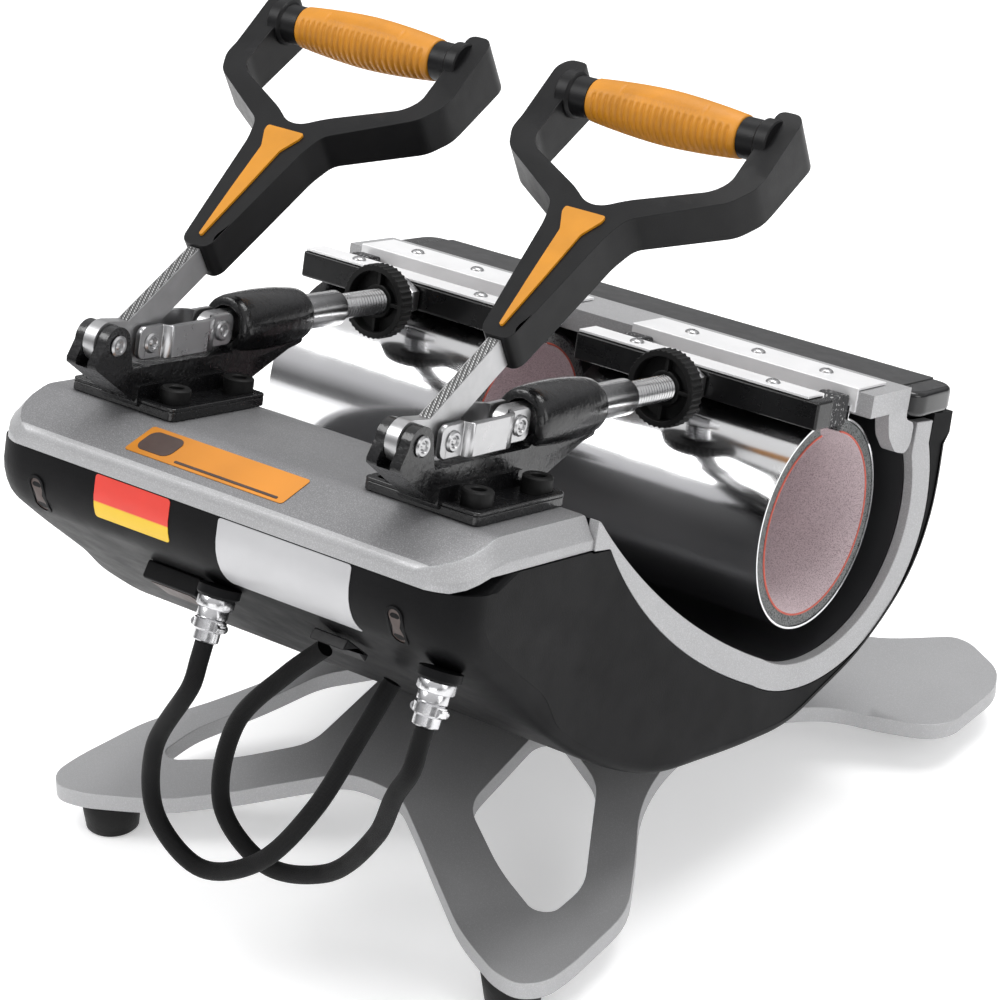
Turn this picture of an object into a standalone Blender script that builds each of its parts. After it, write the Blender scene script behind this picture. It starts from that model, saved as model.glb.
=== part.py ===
"""Mug heat press with two stations.

The stand is level and rests on four rubber feet. The machine above it is
tilted towards the user, who stands on the +Y side. Machine pieces are drawn
in the machine frame: x along the heaters, y and z measured from the heater
axis. An empty carries that frame, and every moving piece hangs from an empty
on its own joint axis.
"""
import bpy
import bmesh
from math import sin, cos, pi, radians, hypot, atan2, sqrt
from mathutils import Vector, Matrix

for old in list(bpy.data.objects):
    bpy.data.objects.remove(old, do_unlink=True)

# ---------------------------------------------------------------- dimensions
MM = 0.001
GAP = 0.3 * MM                 # clearance between touching pieces

TILT = radians(13.4)           # machine leans down towards the user
AXIS_Y = 44.06 * MM              # heater axis in the row frame
AXIS_Z = 154 * MM
STATION_X = 79.8 * MM          # stations at plus and minus this

HEATER_R_IN = 41.5 * MM        # takes an 82 mm mug
HEATER_R_OUT = 48.5 * MM
SHELL_T = 1.0 * MM
HEATER_HALF = 58 * MM
HEATER_LIP_DEG = 15.0          # angle of each lip from the top
SEAM_HALF_DEG = 0.35           # bottom seam between the halves

END_FRONT = 126.5 * MM         # half length of the control box
NEAR_FLARE = 0.0885            # growth of the half length towards the heater axis
END_FLARE = 0.136              # and beyond it
FLARE_START = -157 * MM
WALL_T = 3 * MM

DECK_REAR, DECK_KNEE, DECK_NOSE = -161.2 * MM, -222 * MM, -249 * MM
DECK_Z, NOSE_Z, DECK_SKIRT_Z = 23.8 * MM, 12.8 * MM, 4 * MM
DECK_T = 2.2 * MM
DECK_TOP_HALF = 120 * MM       # flat part, the chamfer runs on to DECK_HALF
DECK_HALF = 126 * MM
DECK_CHAMFER = 9.2 * MM
DECK_SIDE_Z = 10.2 * MM        # lower edge of the deck at the ends

TUB_R = 64.5 * MM
TUB_T = 1.5 * MM
BAND_T = 5 * MM                # thickness of the end trims along x

PIVOT = Vector((0, -236, 53.8)) * MM       # handle on the clevis
LINK = Vector((0, -213, 52.3)) * MM        # link plates on the handle
PUSH = Vector((0, -168, 53.0)) * MM        # link plates on the plunger
PIN_R = 3.9 * MM
HOLE_R = 4.2 * MM
BAR_HALF = 3 * MM              # half thickness of the handle's flat bar
EAR_IN, EAR_OUT = 3.3 * MM, 8.5 * MM
LINK_IN, LINK_OUT = 4.5 * MM, 7.0 * MM
EAR_R, EYE_R, KNUCKLE_R = 8 * MM, 8 * MM, 9 * MM

ROD_R, THREAD_R = 8 * MM, 5.7 * MM
ROD_Z = 53 * MM
ROD_START, ROD_SHOULDER = -149 * MM, -80 * MM
BARREL_R, BORE_R = 13.6 * MM, 8.6 * MM
BARREL_A, BARREL_B = -158 * MM, -110 * MM
WHEEL_Y, WHEEL_R, WHEEL_T = -49.6 * MM, 17.5 * MM, 8 * MM

BAR_Y0, BAR_Y1, BAR_Z0, BAR_Z1 = -27 * MM, -14 * MM, 47.5 * MM, 60 * MM
MOVING_HALF = 64.2 * MM
STRIP_HALF, STRIP_T = 60.3 * MM, 1.2 * MM
RAIL_HALF, CAP_HALF = 148 * MM, 152 * MM

GRIP = Vector((0, -79.3, 173.5)) * MM      # centre of the grip
HANDLE_SLOPE = radians(34.5)
SLEEVE_END_R, SLEEVE_MID_R = 9.3 * MM, 11.8 * MM       # the grip is barrel shaped
SLEEVE_CORE_R, SLEEVE_HALF = 7.6 * MM, 37.6 * MM
COLLAR_R, BOSS_R = 8.8, 10.2   # millimetres, between the sleeve and the arms

HINGE = Vector((0, 0, -49)) * MM           # heater hinge under the front half

FOOT_R, FOOT_H = 14 * MM, 15.7 * MM
BASE_T = 8 * MM
BASE_TOP, BASE_TIP = 60.4 * MM, 24 * MM

LEAD_D = 8 * MM

BLACK = ("black", (0.025, 0.025, 0.027), 0.45, 0.0)
GLOSS = ("gloss_black", (0.012, 0.012, 0.013), 0.2, 0.3)
SILVER = ("silver_paint", (0.42, 0.42, 0.42), 0.4, 0.6)
STEEL = ("steel", (0.62, 0.62, 0.62), 0.22, 1.0)
MIRROR = ("polished_steel", (0.8, 0.8, 0.8), 0.06, 1.0)
ORANGE = ("orange", (0.75, 0.33, 0.03), 0.5, 0.0)
RUBBER = ("rubber", (0.02, 0.02, 0.02), 0.8, 0.0)
FOAM = ("foam", (0.2, 0.21, 0.21), 0.9, 0.0)
GREEN = ("board", (0.02, 0.18, 0.07), 0.5, 0.0)
BRAID = ("braid", (0.03, 0.03, 0.032), 0.75, 0.0)

# ------------------------------------------------------------------- helpers


def empty(name, at, parent=None, rot=(0, 0, 0)):
    ob = bpy.data.objects.new(name, None)
    ob.empty_display_size = 0.02
    ob.location = at
    ob.rotation_euler = rot
    ob.parent = parent
    bpy.context.scene.collection.objects.link(ob)
    return ob


def material(name, look):
    mat = bpy.data.materials.new(name + "_" + look[0])
    mat.use_nodes = True
    shader = mat.node_tree.nodes["Principled BSDF"]
    shader.inputs["Base Color"].default_value = (*look[1], 1)
    shader.inputs["Roughness"].default_value = look[2]
    shader.inputs["Metallic"].default_value = look[3]
    return mat


def piece(name, bm, look, parent=None, home=(0, 0, 0)):
    """Mesh object whose bmesh is drawn in its parent frame's own space."""
    bmesh.ops.translate(bm, verts=bm.verts, vec=-Vector(home))
    bmesh.ops.recalc_face_normals(bm, faces=bm.faces)
    mesh = bpy.data.meshes.new(name)
    bm.to_mesh(mesh)
    bm.free()
    mesh.shade_smooth()
    mesh.set_sharp_from_angle(angle=radians(32))
    ob = bpy.data.objects.new(name, mesh)
    mesh.materials.append(material(name, look))
    bpy.context.scene.collection.objects.link(ob)
    ob.parent = parent
    return ob


def frame_point(axis, u, v, t):
    """u, v in the plane across the axis, t along it."""
    return {"x": (t, u, v), "y": (u, t, v), "z": (u, v, t)}[axis]


def prism(outline, t0, t1, axis="x", holes=()):
    """Extruded outline with optional holes."""
    bm = bmesh.new()
    edges = []
    for ring in (outline, *holes):
        verts = [bm.verts.new(frame_point(axis, u, v, t0)) for u, v in ring]
        edges += [bm.edges.new((a, b)) for a, b in zip(verts, verts[1:] + verts[:1])]
    bmesh.ops.triangle_fill(bm, use_beauty=True, use_dissolve=False, edges=edges)
    grown = bmesh.ops.extrude_face_region(bm, geom=bm.faces[:])
    moved = [g for g in grown["geom"] if isinstance(g, bmesh.types.BMVert)]
    bmesh.ops.translate(bm, verts=moved, vec=frame_point(axis, 0, 0, t1 - t0))
    return bm


def box(x0, x1, y0, y1, z0, z1):
    return prism([(y0, z0), (y1, z0), (y1, z1), (y0, z1)], x0, x1)


def turned(profile, centre, axis="x", steps=24):
    """Solid of revolution of a closed (radius, along) profile."""
    bm = bmesh.new()
    rings = []
    for r, t in profile:
        if r < 1e-7:
            rings.append([bm.verts.new(frame_point(axis, 0, 0, t))])
        else:
            rings.append([bm.verts.new(frame_point(axis, r * cos(2 * pi * i / steps),
                                                   r * sin(2 * pi * i / steps), t))
                          for i in range(steps)])
    for a, b in zip(rings, rings[1:] + rings[:1]):
        for i in range(steps):
            j = (i + 1) % steps
            if len(a) > 1 and len(b) > 1:
                bm.faces.new((a[i], a[j], b[j], b[i]))
            elif len(a) > 1:
                bm.faces.new((a[i], a[j], b[0]))
            elif len(b) > 1:
                bm.faces.new((a[0], b[j], b[i]))
    bmesh.ops.translate(bm, verts=bm.verts, vec=Vector(centre))
    return bm


def ring_section(r_in, r_out, deg0, deg1, steps):
    """Closed outline of an arc strip; degrees run from +z towards +y."""
    def at(r, k):
        a = radians(deg0 + (deg1 - deg0) * k / steps)
        return (r * sin(a), r * cos(a))
    return [at(r_out, k) for k in range(steps + 1)] + \
           [at(r_in, k) for k in range(steps, -1, -1)]


def circle(cu, cv, r, steps=20, start=0.0):
    return [(cu + r * cos(start + 2 * pi * i / steps),
             cv + r * sin(start + 2 * pi * i / steps)) for i in range(steps)]


def capsule(a, b, ra, rb, steps=9):
    """Outline around two circles, joined by straight sides."""
    d = Vector(b) - Vector(a)
    lean = atan2(d[1], d[0])
    out = []
    for c, r, turn in ((b, rb, -pi / 2), (a, ra, pi / 2)):
        for k in range(steps + 1):
            w = lean + turn + pi * k / steps
            out.append((c[0] + r * cos(w), c[1] + r * sin(w)))
    return out


def bezier(p0, p1, p2, steps):
    out = []
    for k in range(steps + 1):
        t = k / steps
        out.append(tuple((1 - t) ** 2 * a + 2 * t * (1 - t) * b + t * t * c
                         for a, b, c in zip(p0, p1, p2)))
    return out


def rounded(x0, x1, y0, y1, r, steps=5):
    out = []
    for cx, cy, q in ((x1 - r, y1 - r, 0), (x0 + r, y1 - r, 1),
                      (x0 + r, y0 + r, 2), (x1 - r, y0 + r, 3)):
        for k in range(steps + 1):
            a = pi / 2 * (q + k / steps)
            out.append((cx + r * cos(a), cy + r * sin(a)))
    return out


def joined(bms):
    """Boolean union of several closed bmeshes, done on throw-away objects."""
    return solid_op(bms[0], bms[1:], "UNION")


def cut(bm, cutters):
    return solid_op(bm, cutters, "DIFFERENCE")


def solid_op(first, others, kind):
    """One Boolean at a time, with the seam welded after each."""
    def holder(bm):
        bmesh.ops.recalc_face_normals(bm, faces=bm.faces)
        mesh = bpy.data.meshes.new("work")
        bm.to_mesh(mesh)
        bm.free()
        ob = bpy.data.objects.new("work", mesh)
        bpy.context.scene.collection.objects.link(ob)
        return ob
    result = first
    for other in others:
        base, tool = holder(result), holder(other)
        mod = base.modifiers.new("op", "BOOLEAN")
        mod.operation = kind
        mod.object = tool
        shaped = base.evaluated_get(bpy.context.evaluated_depsgraph_get())
        result = bmesh.new()
        result.from_mesh(shaped.to_mesh())
        shaped.to_mesh_clear()
        for ob in (base, tool):
            bpy.data.objects.remove(ob, do_unlink=True)
        bmesh.ops.remove_doubles(result, verts=result.verts, dist=1e-6)
    return result


def bevel(ob, width, steps=1, angle=50):
    mod = ob.modifiers.new("edge", "BEVEL")
    mod.width = width
    mod.segments = steps
    mod.limit_method = "ANGLE"
    mod.angle_limit = radians(angle)
    return ob


# ------------------------------------------------------------ machine frame

machine = empty("machine", (0, AXIS_Y, AXIS_Z), None, (-TILT, 0, 0))


def end_x(y):
    """Half length of the machine at a depth y."""
    return (END_FRONT + max(0.0, y - FLARE_START) * NEAR_FLARE +
            max(0.0, y) * (END_FLARE - NEAR_FLARE))


def flared(outline, inset0, inset1, side=0):
    """Prism along x whose ends follow the flare.

    side 0 spans the whole machine at end_x - inset0; side 1 or -1 makes a
    plate at one end, between end_x - inset0 and end_x - inset1."""
    bm = bmesh.new()
    if side == 0:
        span = [(-1, inset0), (1, inset0)]
    else:
        span = [(side, inset0), (side, inset1)]
    verts, edges = [], []
    for y, z in outline:
        verts.append(bm.verts.new((span[0][0] * (end_x(y) - span[0][1]), y, z)))
    edges = [bm.edges.new((a, b)) for a, b in zip(verts, verts[1:] + verts[:1])]
    bmesh.ops.triangle_fill(bm, use_beauty=True, use_dissolve=False, edges=edges)
    grown = bmesh.ops.extrude_face_region(bm, geom=bm.faces[:])
    for g in grown["geom"]:
        if isinstance(g, bmesh.types.BMVert):
            g.co.x = span[1][0] * (end_x(g.co.y) - span[1][1])
    return bm


# Trough: an arc about the heater axis, run on up a slope to the deck.
def tub_curve(grow, slope_grow, steps_arc=14, steps_slope=9):
    r = TUB_R + grow
    arc = []
    for k in range(steps_arc + 1):
        a = radians(66 + (205 - 66) * k / steps_arc)
        arc.append((r * sin(a), r * cos(a)))
    top = (-159.5 * MM + 0.72 * slope_grow, 22.2 * MM - slope_grow)
    mid = (-103 * MM - 0.55 * slope_grow, -32 * MM - 0.9 * slope_grow)
    return arc + bezier(arc[-1], mid, top, steps_slope)[1:]


inner = tub_curve(0, 0)
outer = tub_curve(12.5 * MM, 13 * MM)
TOP_REAR = 42 * MM
inner = [(inner[0][0], TOP_REAR)] + inner
outer = [(outer[0][0], TOP_REAR)] + outer

belly = [(-250, 3.6), (-249.6, -10), (-244, -21), (-234, -28), (-230, -32),
         (-171, -69), (-140, -86), (-110, -97), (-89, -101.5), (-57, -101),
         (-25, -99), (1, -95), (21.5, -84), (49, -65.5), (75, -35), (85, -4),
         (84.5, 45)]
belly = [(y * MM, z * MM) for y, z in belly]
trough_cut = tub_curve(12.8 * MM, 13.3 * MM)
shell_outline = belly + [(trough_cut[0][0] + 0.2 * MM, 45 * MM)] + trough_cut + \
    [(-161.5 * MM, 9.0 * MM), (-163 * MM, 9.8 * MM), (-204 * MM, 9.8 * MM),
     (-222 * MM, 3.5 * MM)]
housing = flared(shell_outline, 0, 0)
pocket_outline = [(-246.5, 30), (-246.5, 2), (-241, -18), (-229, -27.5),
                  (-172, -64), (-139, -81), (-110, -91.5), (-113, -56),
                  (-139, -32), (-157, -6), (-160, 30)]
pocket = flared([(y * MM, z * MM) for y, z in pocket_outline], WALL_T, WALL_T)
housing = cut(housing, [pocket])
piece("lower_housing", housing, BLACK, machine)


def deck_section(x_half, drop, pull):
    """Top line of the deck sheet from the rear edge to the bottom of the nose."""
    return [(x_half, DECK_REAR, DECK_Z - drop),
            (x_half, DECK_KNEE + pull, DECK_Z - drop),
            (x_half, DECK_NOSE + pull, NOSE_Z - drop * 0.6),
            (x_half, DECK_NOSE - 2 * MM + pull, DECK_SKIRT_Z)]


def deck():
    """Folded sheet: flat top, sloping front and a chamfer at each end."""
    stations = [(-DECK_HALF, DECK_CHAMFER, 18 * MM), (-123 * MM, DECK_CHAMFER / 2, 9 * MM),
                (-DECK_TOP_HALF, 0, 5 * MM), (-108 * MM, 0, 0)]
    stations += [(-x, drop, pull) for x, drop, pull in reversed(stations)]
    bm = bmesh.new()
    rows = []
    for x, drop, pull in stations:
        top = deck_section(x, drop, pull)
        low = [(px, py + (DECK_T if i == 3 else DECK_T * 0.8 if i == 2 else 0),
                pz - (0 if i == 3 else DECK_T)) for i, (px, py, pz) in enumerate(top)]
        if abs(x) == DECK_HALF:
            low[:2] = [(px, py, DECK_SIDE_Z) for px, py, _ in low[:2]]
        rows.append([bm.verts.new(p) for p in top + low[::-1]])
    for a, b in zip(rows, rows[1:]):
        for i in range(len(a)):
            j = (i + 1) % len(a)
            bm.faces.new((a[i], a[j], b[j], b[i]))
    for row in (rows[0], rows[-1]):
        for i in range(3):
            bm.faces.new((row[i], row[i + 1], row[6 - i], row[7 - i]))
    return bm


piece("deck_cover", deck(), SILVER, machine)

# Liner sheet between the end trims.
liner = inner + tub_curve(TUB_T, TUB_T)[::-1] + [(inner[0][0] + TUB_T, TOP_REAR)]
piece("tub_liner", flared(liner, BAND_T + GAP, BAND_T + GAP), MIRROR, machine)
for label, side in (("left", -1), ("right", 1)):
    trim = inner + [(-160.9 * MM, 22.3 * MM), (-160.9 * MM, 9.5 * MM)] + outer[::-1]
    piece("end_trim_" + label, flared(trim, BAND_T, 0, side), SILVER, machine)

# Wall, panels and cap on the user's side.
wall = prism([(-138 * MM, -30 * MM), (138 * MM, -30 * MM), (138 * MM, 38 * MM),
              (-138 * MM, 38 * MM)], 85.6 * MM, 88 * MM, "y")
piece("front_wall", wall, BLACK, machine)
for label, side in (("left", -1), ("right", 1)):
    x = side * 72 * MM
    pad = prism(rounded(x - 42 * MM, x + 42 * MM, -20 * MM, 30 * MM, 5 * MM),
                88.3 * MM, 90.5 * MM, "y")
    piece("control_panel_" + label, pad, GLOSS, machine)

cap = prism(rounded(-CAP_HALF, CAP_HALF, 48 * MM, 86 * MM, 10 * MM),
            45.3 * MM, 57 * MM, "z")
bevel(piece("top_cap", cap, GLOSS, machine), 2.5 * MM, 2)

# Fixed rail with a lug at each end that comes down inside the trims.
rail = [box(-RAIL_HALF, RAIL_HALF, 14 * MM, 47.6 * MM, 49 * MM, 59.4 * MM)]
for side in (-1, 1):
    a, b = sorted((side * 141 * MM, side * RAIL_HALF))
    lug = [(30, 50), (34, 38), (42, 30), (52, 28), (56, 32), (56, 42), (47.6, 44.6),
           (47.6, 50)]
    rail.append(prism([(y * MM, z * MM) for y, z in lug], a, b))
piece("fixed_rail", joined(rail), SILVER, machine)

piece("control_board", box(-70 * MM, 70 * MM, -225 * MM, -172 * MM, -14 * MM, -12.4 * MM),
      GREEN, machine)

# ------------------------------------------------------------------ stations


def handle_point(x, s, n):
    """Point in the handle's own plane: s towards the grip, n out of the plane."""
    return Vector((x, GRIP.y + s * cos(HANDLE_SLOPE) - n * sin(HANDLE_SLOPE),
                   GRIP.z + s * sin(HANDLE_SLOPE) + n * cos(HANDLE_SLOPE)))


def handle_slab(outline, low, high):
    """Slab in the handle plane; low and high give its faces at each s."""
    bm = prism(outline, 0, 1, "z")
    for v in bm.verts:
        x, s, top = v.co
        n = high(s) if top > 0.5 else low(s)
        v.co = handle_point(x, s, n)
    return bm


def mirrored(half):
    return half + [(-x, s) for x, s in reversed(half) if abs(x) > 1e-9]


def fork_low(s):
    """Underside: level under the arms, deeper towards the end of the neck."""
    return (-17 - 8 * min(1.0, max(0.0, (-s / MM - 62) / 72))) * MM


def fork_high(s):
    """Upper side: level on the arms, falling along the neck."""
    t = -s / MM
    return (2 + 5 * min(1.0, max(0.0, (24 - t) / 32)) -
            2 * min(1.0, max(0.0, (t - 42) / 20)) -
            8 * min(1.0, max(0.0, (t - 62) / 72))) * MM


FORK_HALF = [(0, -134), (5.5, -134), (8, -131), (11.5, -104), (14.5, -80), (15.4, -73),
             (19, -62), (55.4, -40.4), (61, -30), (61.5, -24), (61.5, 8), (58, 13), (48, 13),
             (48.5, -30), (44, -37), (13, -52.5), (5, -58), (0, -59)]
INLAY_HALF = [(0, -129), (3.4, -100), (5.2, -76), (10, -67), (10, -64), (0, -64)]


def fork():
    outline = mirrored([(x * MM, s * MM) for x, s in FORK_HALF])
    slab = handle_slab(outline, fork_low, fork_high)
    half = [(0, 53), (BOSS_R, 53), (BOSS_R, 46.6), (COLLAR_R, 46), (COLLAR_R, 37.9),
            (SLEEVE_CORE_R / MM, 37.9)]
    profile = half + [(r, -x) for r, x in reversed(half)]
    core = turned([(r * MM, x * MM) for r, x in profile], GRIP, "x", 24)
    return joined([slab, core])


def grip_sleeve():
    profile = [(SLEEVE_CORE_R + GAP, -SLEEVE_HALF)]
    for k in range(-4, 5):
        t = k / 4
        profile.append((SLEEVE_END_R + (SLEEVE_MID_R - SLEEVE_END_R) * (1 - abs(t) ** 1.7),
                        t * SLEEVE_HALF))
    profile.append((SLEEVE_CORE_R + GAP, SLEEVE_HALF))
    return turned(profile, GRIP, "x", 24)


def flat_bar():
    """Eyes at the two pivots, then the bar up into the neck."""
    eyes = prism(capsule((PIVOT.y, PIVOT.z), (LINK.y, LINK.z), KNUCKLE_R,
                           KNUCKLE_R - 0.5 * MM, 10),
                 -BAR_HALF, BAR_HALF)
    end = FORK_HALF[0][1] * MM - GAP
    foot = handle_slab([(-BAR_HALF, -191 * MM), (BAR_HALF, -191 * MM),
                        (BAR_HALF, end), (-BAR_HALF, end)],
                       lambda s: -22.8 * MM, lambda s: -9.6 * MM)
    whole = joined([eyes, foot])
    holes = [turned([(0, -9 * MM), (HOLE_R, -9 * MM), (HOLE_R, 9 * MM), (0, 9 * MM)], p)
             for p in (PIVOT, LINK)]
    return cut(whole, holes)


def clamp_base():
    parts = [box(-28.9 * MM, 28.9 * MM, -220.4 * MM, -159.5 * MM, DECK_Z + GAP, 29 * MM)]
    rib = [(-219, 25), (-150, 27), (-121, 40), (-112, 42), (-112, 44), (-158, 44),
           (-160, 42.6), (-222, 42.6), (-222, 30)]
    parts.append(prism([(y * MM, z * MM) for y, z in rib], -7.6 * MM, 7.6 * MM))
    parts.append(turned([(0, BARREL_A), (BARREL_R - 1 * MM, BARREL_A),
                         (BARREL_R, BARREL_A + 2 * MM), (BARREL_R, -125 * MM),
                         (11.6 * MM, BARREL_B), (0, BARREL_B)],
                        (0, 0, ROD_Z), "y", 24))
    ear = [(PIVOT.y - EAR_R * cos(pi * k / 9), PIVOT.z + EAR_R * sin(pi * k / 9))
           for k in range(10)]
    ear += [(y * MM, z * MM) for y, z in [(-225, 42.6), (-214, 42.6), (-214, 27),
                                          (-220.6, 27), (-247.6, 44.4), (-247.8, 46.5)]]
    parts.append(prism(ear, -EAR_OUT, EAR_OUT))
    whole = joined(parts)
    tools = [turned([(0, -200 * MM), (BORE_R, -200 * MM), (BORE_R, -90 * MM),
                     (0, -90 * MM)], (0, 0, ROD_Z), "y", 24),
             turned([(0, -20 * MM), (HOLE_R, -20 * MM), (HOLE_R, 20 * MM), (0, 20 * MM)],
                    PIVOT),
             prism([(y * MM, z * MM) for y, z in
                    [(-260, 43.9), (-223, 43.9), (-223, 42.9), (-205, 42.9),
                     (-205, 70), (-260, 70)]], -EAR_IN, EAR_IN)]
    return cut(whole, tools)


def pin(centre, reach, head_r=6 * MM, head_t=2 * MM):
    half = reach + 0.3 * MM
    return turned([(0, -half - head_t), (head_r, -half - head_t), (head_r, -half),
                   (PIN_R, -half), (PIN_R, half), (head_r, half),
                   (head_r, half + head_t), (0, half + head_t)], centre, "x", 20)


def link_plate(side):
    """Plate on one side of the tongue, with its stud and head at the push end."""
    a, b = sorted((side * LINK_IN, side * LINK_OUT))
    waist = capsule((LINK.y, LINK.z), (PUSH.y, PUSH.z), EYE_R, EYE_R, 10)
    plate = prism(waist, a, b, "x", [circle(LINK.y, LINK.z, HOLE_R)])
    s0, s1 = side * (BAR_HALF + GAP), side * 9.6 * MM
    profile = [(0, s0), (4 * MM, s0), (4 * MM, side * (LINK_OUT - 1 * MM)),
               (5.6 * MM, side * (LINK_OUT - 1 * MM)), (5.6 * MM, s1), (0, s1)]
    return joined([plate, turned(profile, PUSH, "x", 20)])


def plunger():
    tongue = prism(capsule((PUSH.y, PUSH.z), (-140 * MM, ROD_Z), 6.6 * MM, 6.6 * MM, 9),
                   -BAR_HALF, BAR_HALF)
    rod = turned([(0, ROD_START), (ROD_R, ROD_START), (ROD_R, ROD_SHOULDER - 2 * MM),
                  (ROD_R - 1.5 * MM, ROD_SHOULDER), (THREAD_R, ROD_SHOULDER),
                  (THREAD_R, BAR_Y0 - GAP), (0, BAR_Y0 - GAP)], (0, 0, ROD_Z), "y", 24)
    return joined([tongue, rod])


def wheel():
    steps, arms = 40, 4
    outer_ring = [(r * cos(a), r * sin(a)) for r, a in
                  ((WHEEL_R - (1 * MM if i % 2 else 0), 2 * pi * i / steps)
                   for i in range(steps))]
    holes = [circle(0, 0, THREAD_R + GAP, 16)]
    for k in range(arms):
        mid = pi / 2 * k
        win = []
        for r, turn in ((13.2 * MM, 1), (8.6 * MM, -1)):
            for j in range(5):
                a = mid + turn * radians(-28 + 14 * j)
                win.append((r * cos(a), r * sin(a)))
        holes.append(win)
    bm = prism(outer_ring, WHEEL_Y - WHEEL_T / 2, WHEEL_Y + WHEEL_T / 2, "y", holes)
    bmesh.ops.translate(bm, verts=bm.verts, vec=(0, 0, ROD_Z))
    return bm


def heater_half(r_in, r_out, side, steps=14):
    a0, a1 = (HEATER_LIP_DEG, 180 - SEAM_HALF_DEG)
    sec = ring_section(r_in, r_out, a0, a1, steps)
    return prism([(side * y, z) for y, z in sec], -HEATER_HALF, HEATER_HALF)


def strip(side, y0, y1, z0, lip_z, half0, half1):
    """Flat flange with a lip that turns down beside the heater gap."""
    sec = [(y0, z0), (y0, z0 + STRIP_T), (y1, z0 + STRIP_T), (y1, lip_z),
           (y1 + side * STRIP_T, lip_z), (y1 + side * STRIP_T, z0)]
    return prism(sec, half0, half1)


for number, sx in ((1, -STATION_X), (2, STATION_X)):
    n = "_%d" % number
    at = Vector((sx, 0, 0))
    place = empty("station" + n, at, machine)
    handle = empty("handle_joint" + n, PIVOT, place)
    link = empty("link_joint" + n, LINK - PIVOT, handle)
    push = empty("plunger_joint" + n, PUSH, place)
    turn = empty("wheel_joint" + n, Vector((0, WHEEL_Y, ROD_Z)) - PUSH, push)
    clam = empty("heater_joint" + n, HINGE, place)

    # Heater: the user's half is fixed, the other swings on the bottom seam.
    piece("heater_shell_rear" + n, heater_half(HEATER_R_OUT - SHELL_T, HEATER_R_OUT, 1),
          MIRROR, place)
    piece("heater_pad_rear" + n,
          heater_half(HEATER_R_IN, HEATER_R_OUT - SHELL_T - GAP, 1), FOAM, place)
    piece("heater_shell_front" + n, heater_half(HEATER_R_OUT - SHELL_T, HEATER_R_OUT, -1),
          MIRROR, clam, HINGE)
    piece("heater_pad_front" + n,
          heater_half(HEATER_R_IN, HEATER_R_OUT - SHELL_T - GAP, -1), FOAM, clam, HINGE)
    piece("fixed_strip" + n,
          strip(1, 38 * MM, 12.4 * MM, 59.8 * MM, 50 * MM, -STRIP_HALF, STRIP_HALF),
          STEEL, place)

    # Clamp
    piece("clamp_base" + n, clamp_base(), GLOSS, place)
    piece("pivot_pin" + n, pin(PIVOT, EAR_OUT), STEEL, place)
    piece("handle_bar" + n, flat_bar(), STEEL, handle, PIVOT)
    piece("handle_fork" + n, fork(), BLACK, handle, PIVOT)
    piece("handle_inlay" + n,
          handle_slab(mirrored([(x * MM, s * MM) for x, s in INLAY_HALF]),
                      lambda s: fork_high(s) + GAP, lambda s: fork_high(s) + 1.1 * MM),
          ORANGE, handle, PIVOT)
    piece("grip_sleeve" + n, grip_sleeve(), ORANGE, handle, PIVOT)
    piece("link_pin" + n, pin(LINK, LINK_OUT, 5.6 * MM), STEEL, handle, PIVOT)
    piece("link_plate_a" + n, link_plate(-1), STEEL, link, LINK)
    piece("link_plate_b" + n, link_plate(1), STEEL, link, LINK)
    piece("plunger" + n, plunger(), STEEL, push, PUSH)
    piece("adjuster_wheel" + n, wheel(), RUBBER, turn, (0, WHEEL_Y, ROD_Z))
    bevel(piece("moving_bar" + n, box(-MOVING_HALF, MOVING_HALF, BAR_Y0, BAR_Y1,
                                      BAR_Z0, BAR_Z1), GLOSS, push, PUSH), 1.2 * MM, 1)
    piece("moving_strip" + n,
          strip(-1, -26.6 * MM, -12.4 * MM, BAR_Z1 + GAP, 50 * MM, -MOVING_HALF + 1 * MM,
                MOVING_HALF - 6 * MM), STEEL, push, PUSH)

# --------------------------------------------------- inlet, rocker and leads

# Underside of the control box: u runs down the slope, v points out of it.
UNDER = Vector((0, -230, -32)) * MM
UNDER_U = Vector((0, 59, -37)).normalized()
UNDER_V = Vector((0, UNDER_U.z, -UNDER_U.y))


def under_box(x0, x1, section):
    pts = [UNDER + UNDER_U * (u * MM) + UNDER_V * (v * MM) for u, v in section]
    return prism([(p.y, p.z) for p in pts], x0 * MM, x1 * MM)


bevel(piece("power_inlet", under_box(-49, -19, [(3, 0.4), (25, 0.4), (24, 8), (4, 8)]),
            BLACK, machine), 1 * MM, 1)
ROCKER = UNDER + UNDER_U * (13 * MM) + UNDER_V * (1.9 * MM) + Vector((51 * MM, 0, 0))
rocker_joint = empty("rocker_joint", ROCKER, machine)
piece("power_rocker", under_box(41, 61, [(4, 2.2), (22, 2.2), (22, 5.5), (13, 3.6),
                                         (4, 7.4)]), BLACK, rocker_joint, ROCKER)

PLUG_TOP = Vector((0, -233.4, -36.6)) * MM
PLUG_DIR = Vector((0, -5, -19)).normalized()
PLUG_L = 19 * MM


def plug(x):
    profile = [(0, 0), (8, 0), (8, 4.5), (6.6, 5), (6.6, 9), (7.6, 9.5), (7.6, 14),
               (5.4, 15), (5.4, 19), (0, 19)]
    bm = turned([(r * MM, t * MM) for r, t in profile], (0, 0, 0), "z", 20)
    spin = Vector((0, 0, 1)).rotation_difference(PLUG_DIR).to_matrix().to_4x4()
    bmesh.ops.transform(bm, matrix=Matrix.Translation(PLUG_TOP + Vector((x, 0, 0))) @ spin,
                        verts=bm.verts)
    return bm


def to_world(p):
    return Matrix.Translation((0, AXIS_Y, AXIS_Z)) @ Matrix.Rotation(-TILT, 4, "X") @ p


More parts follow.
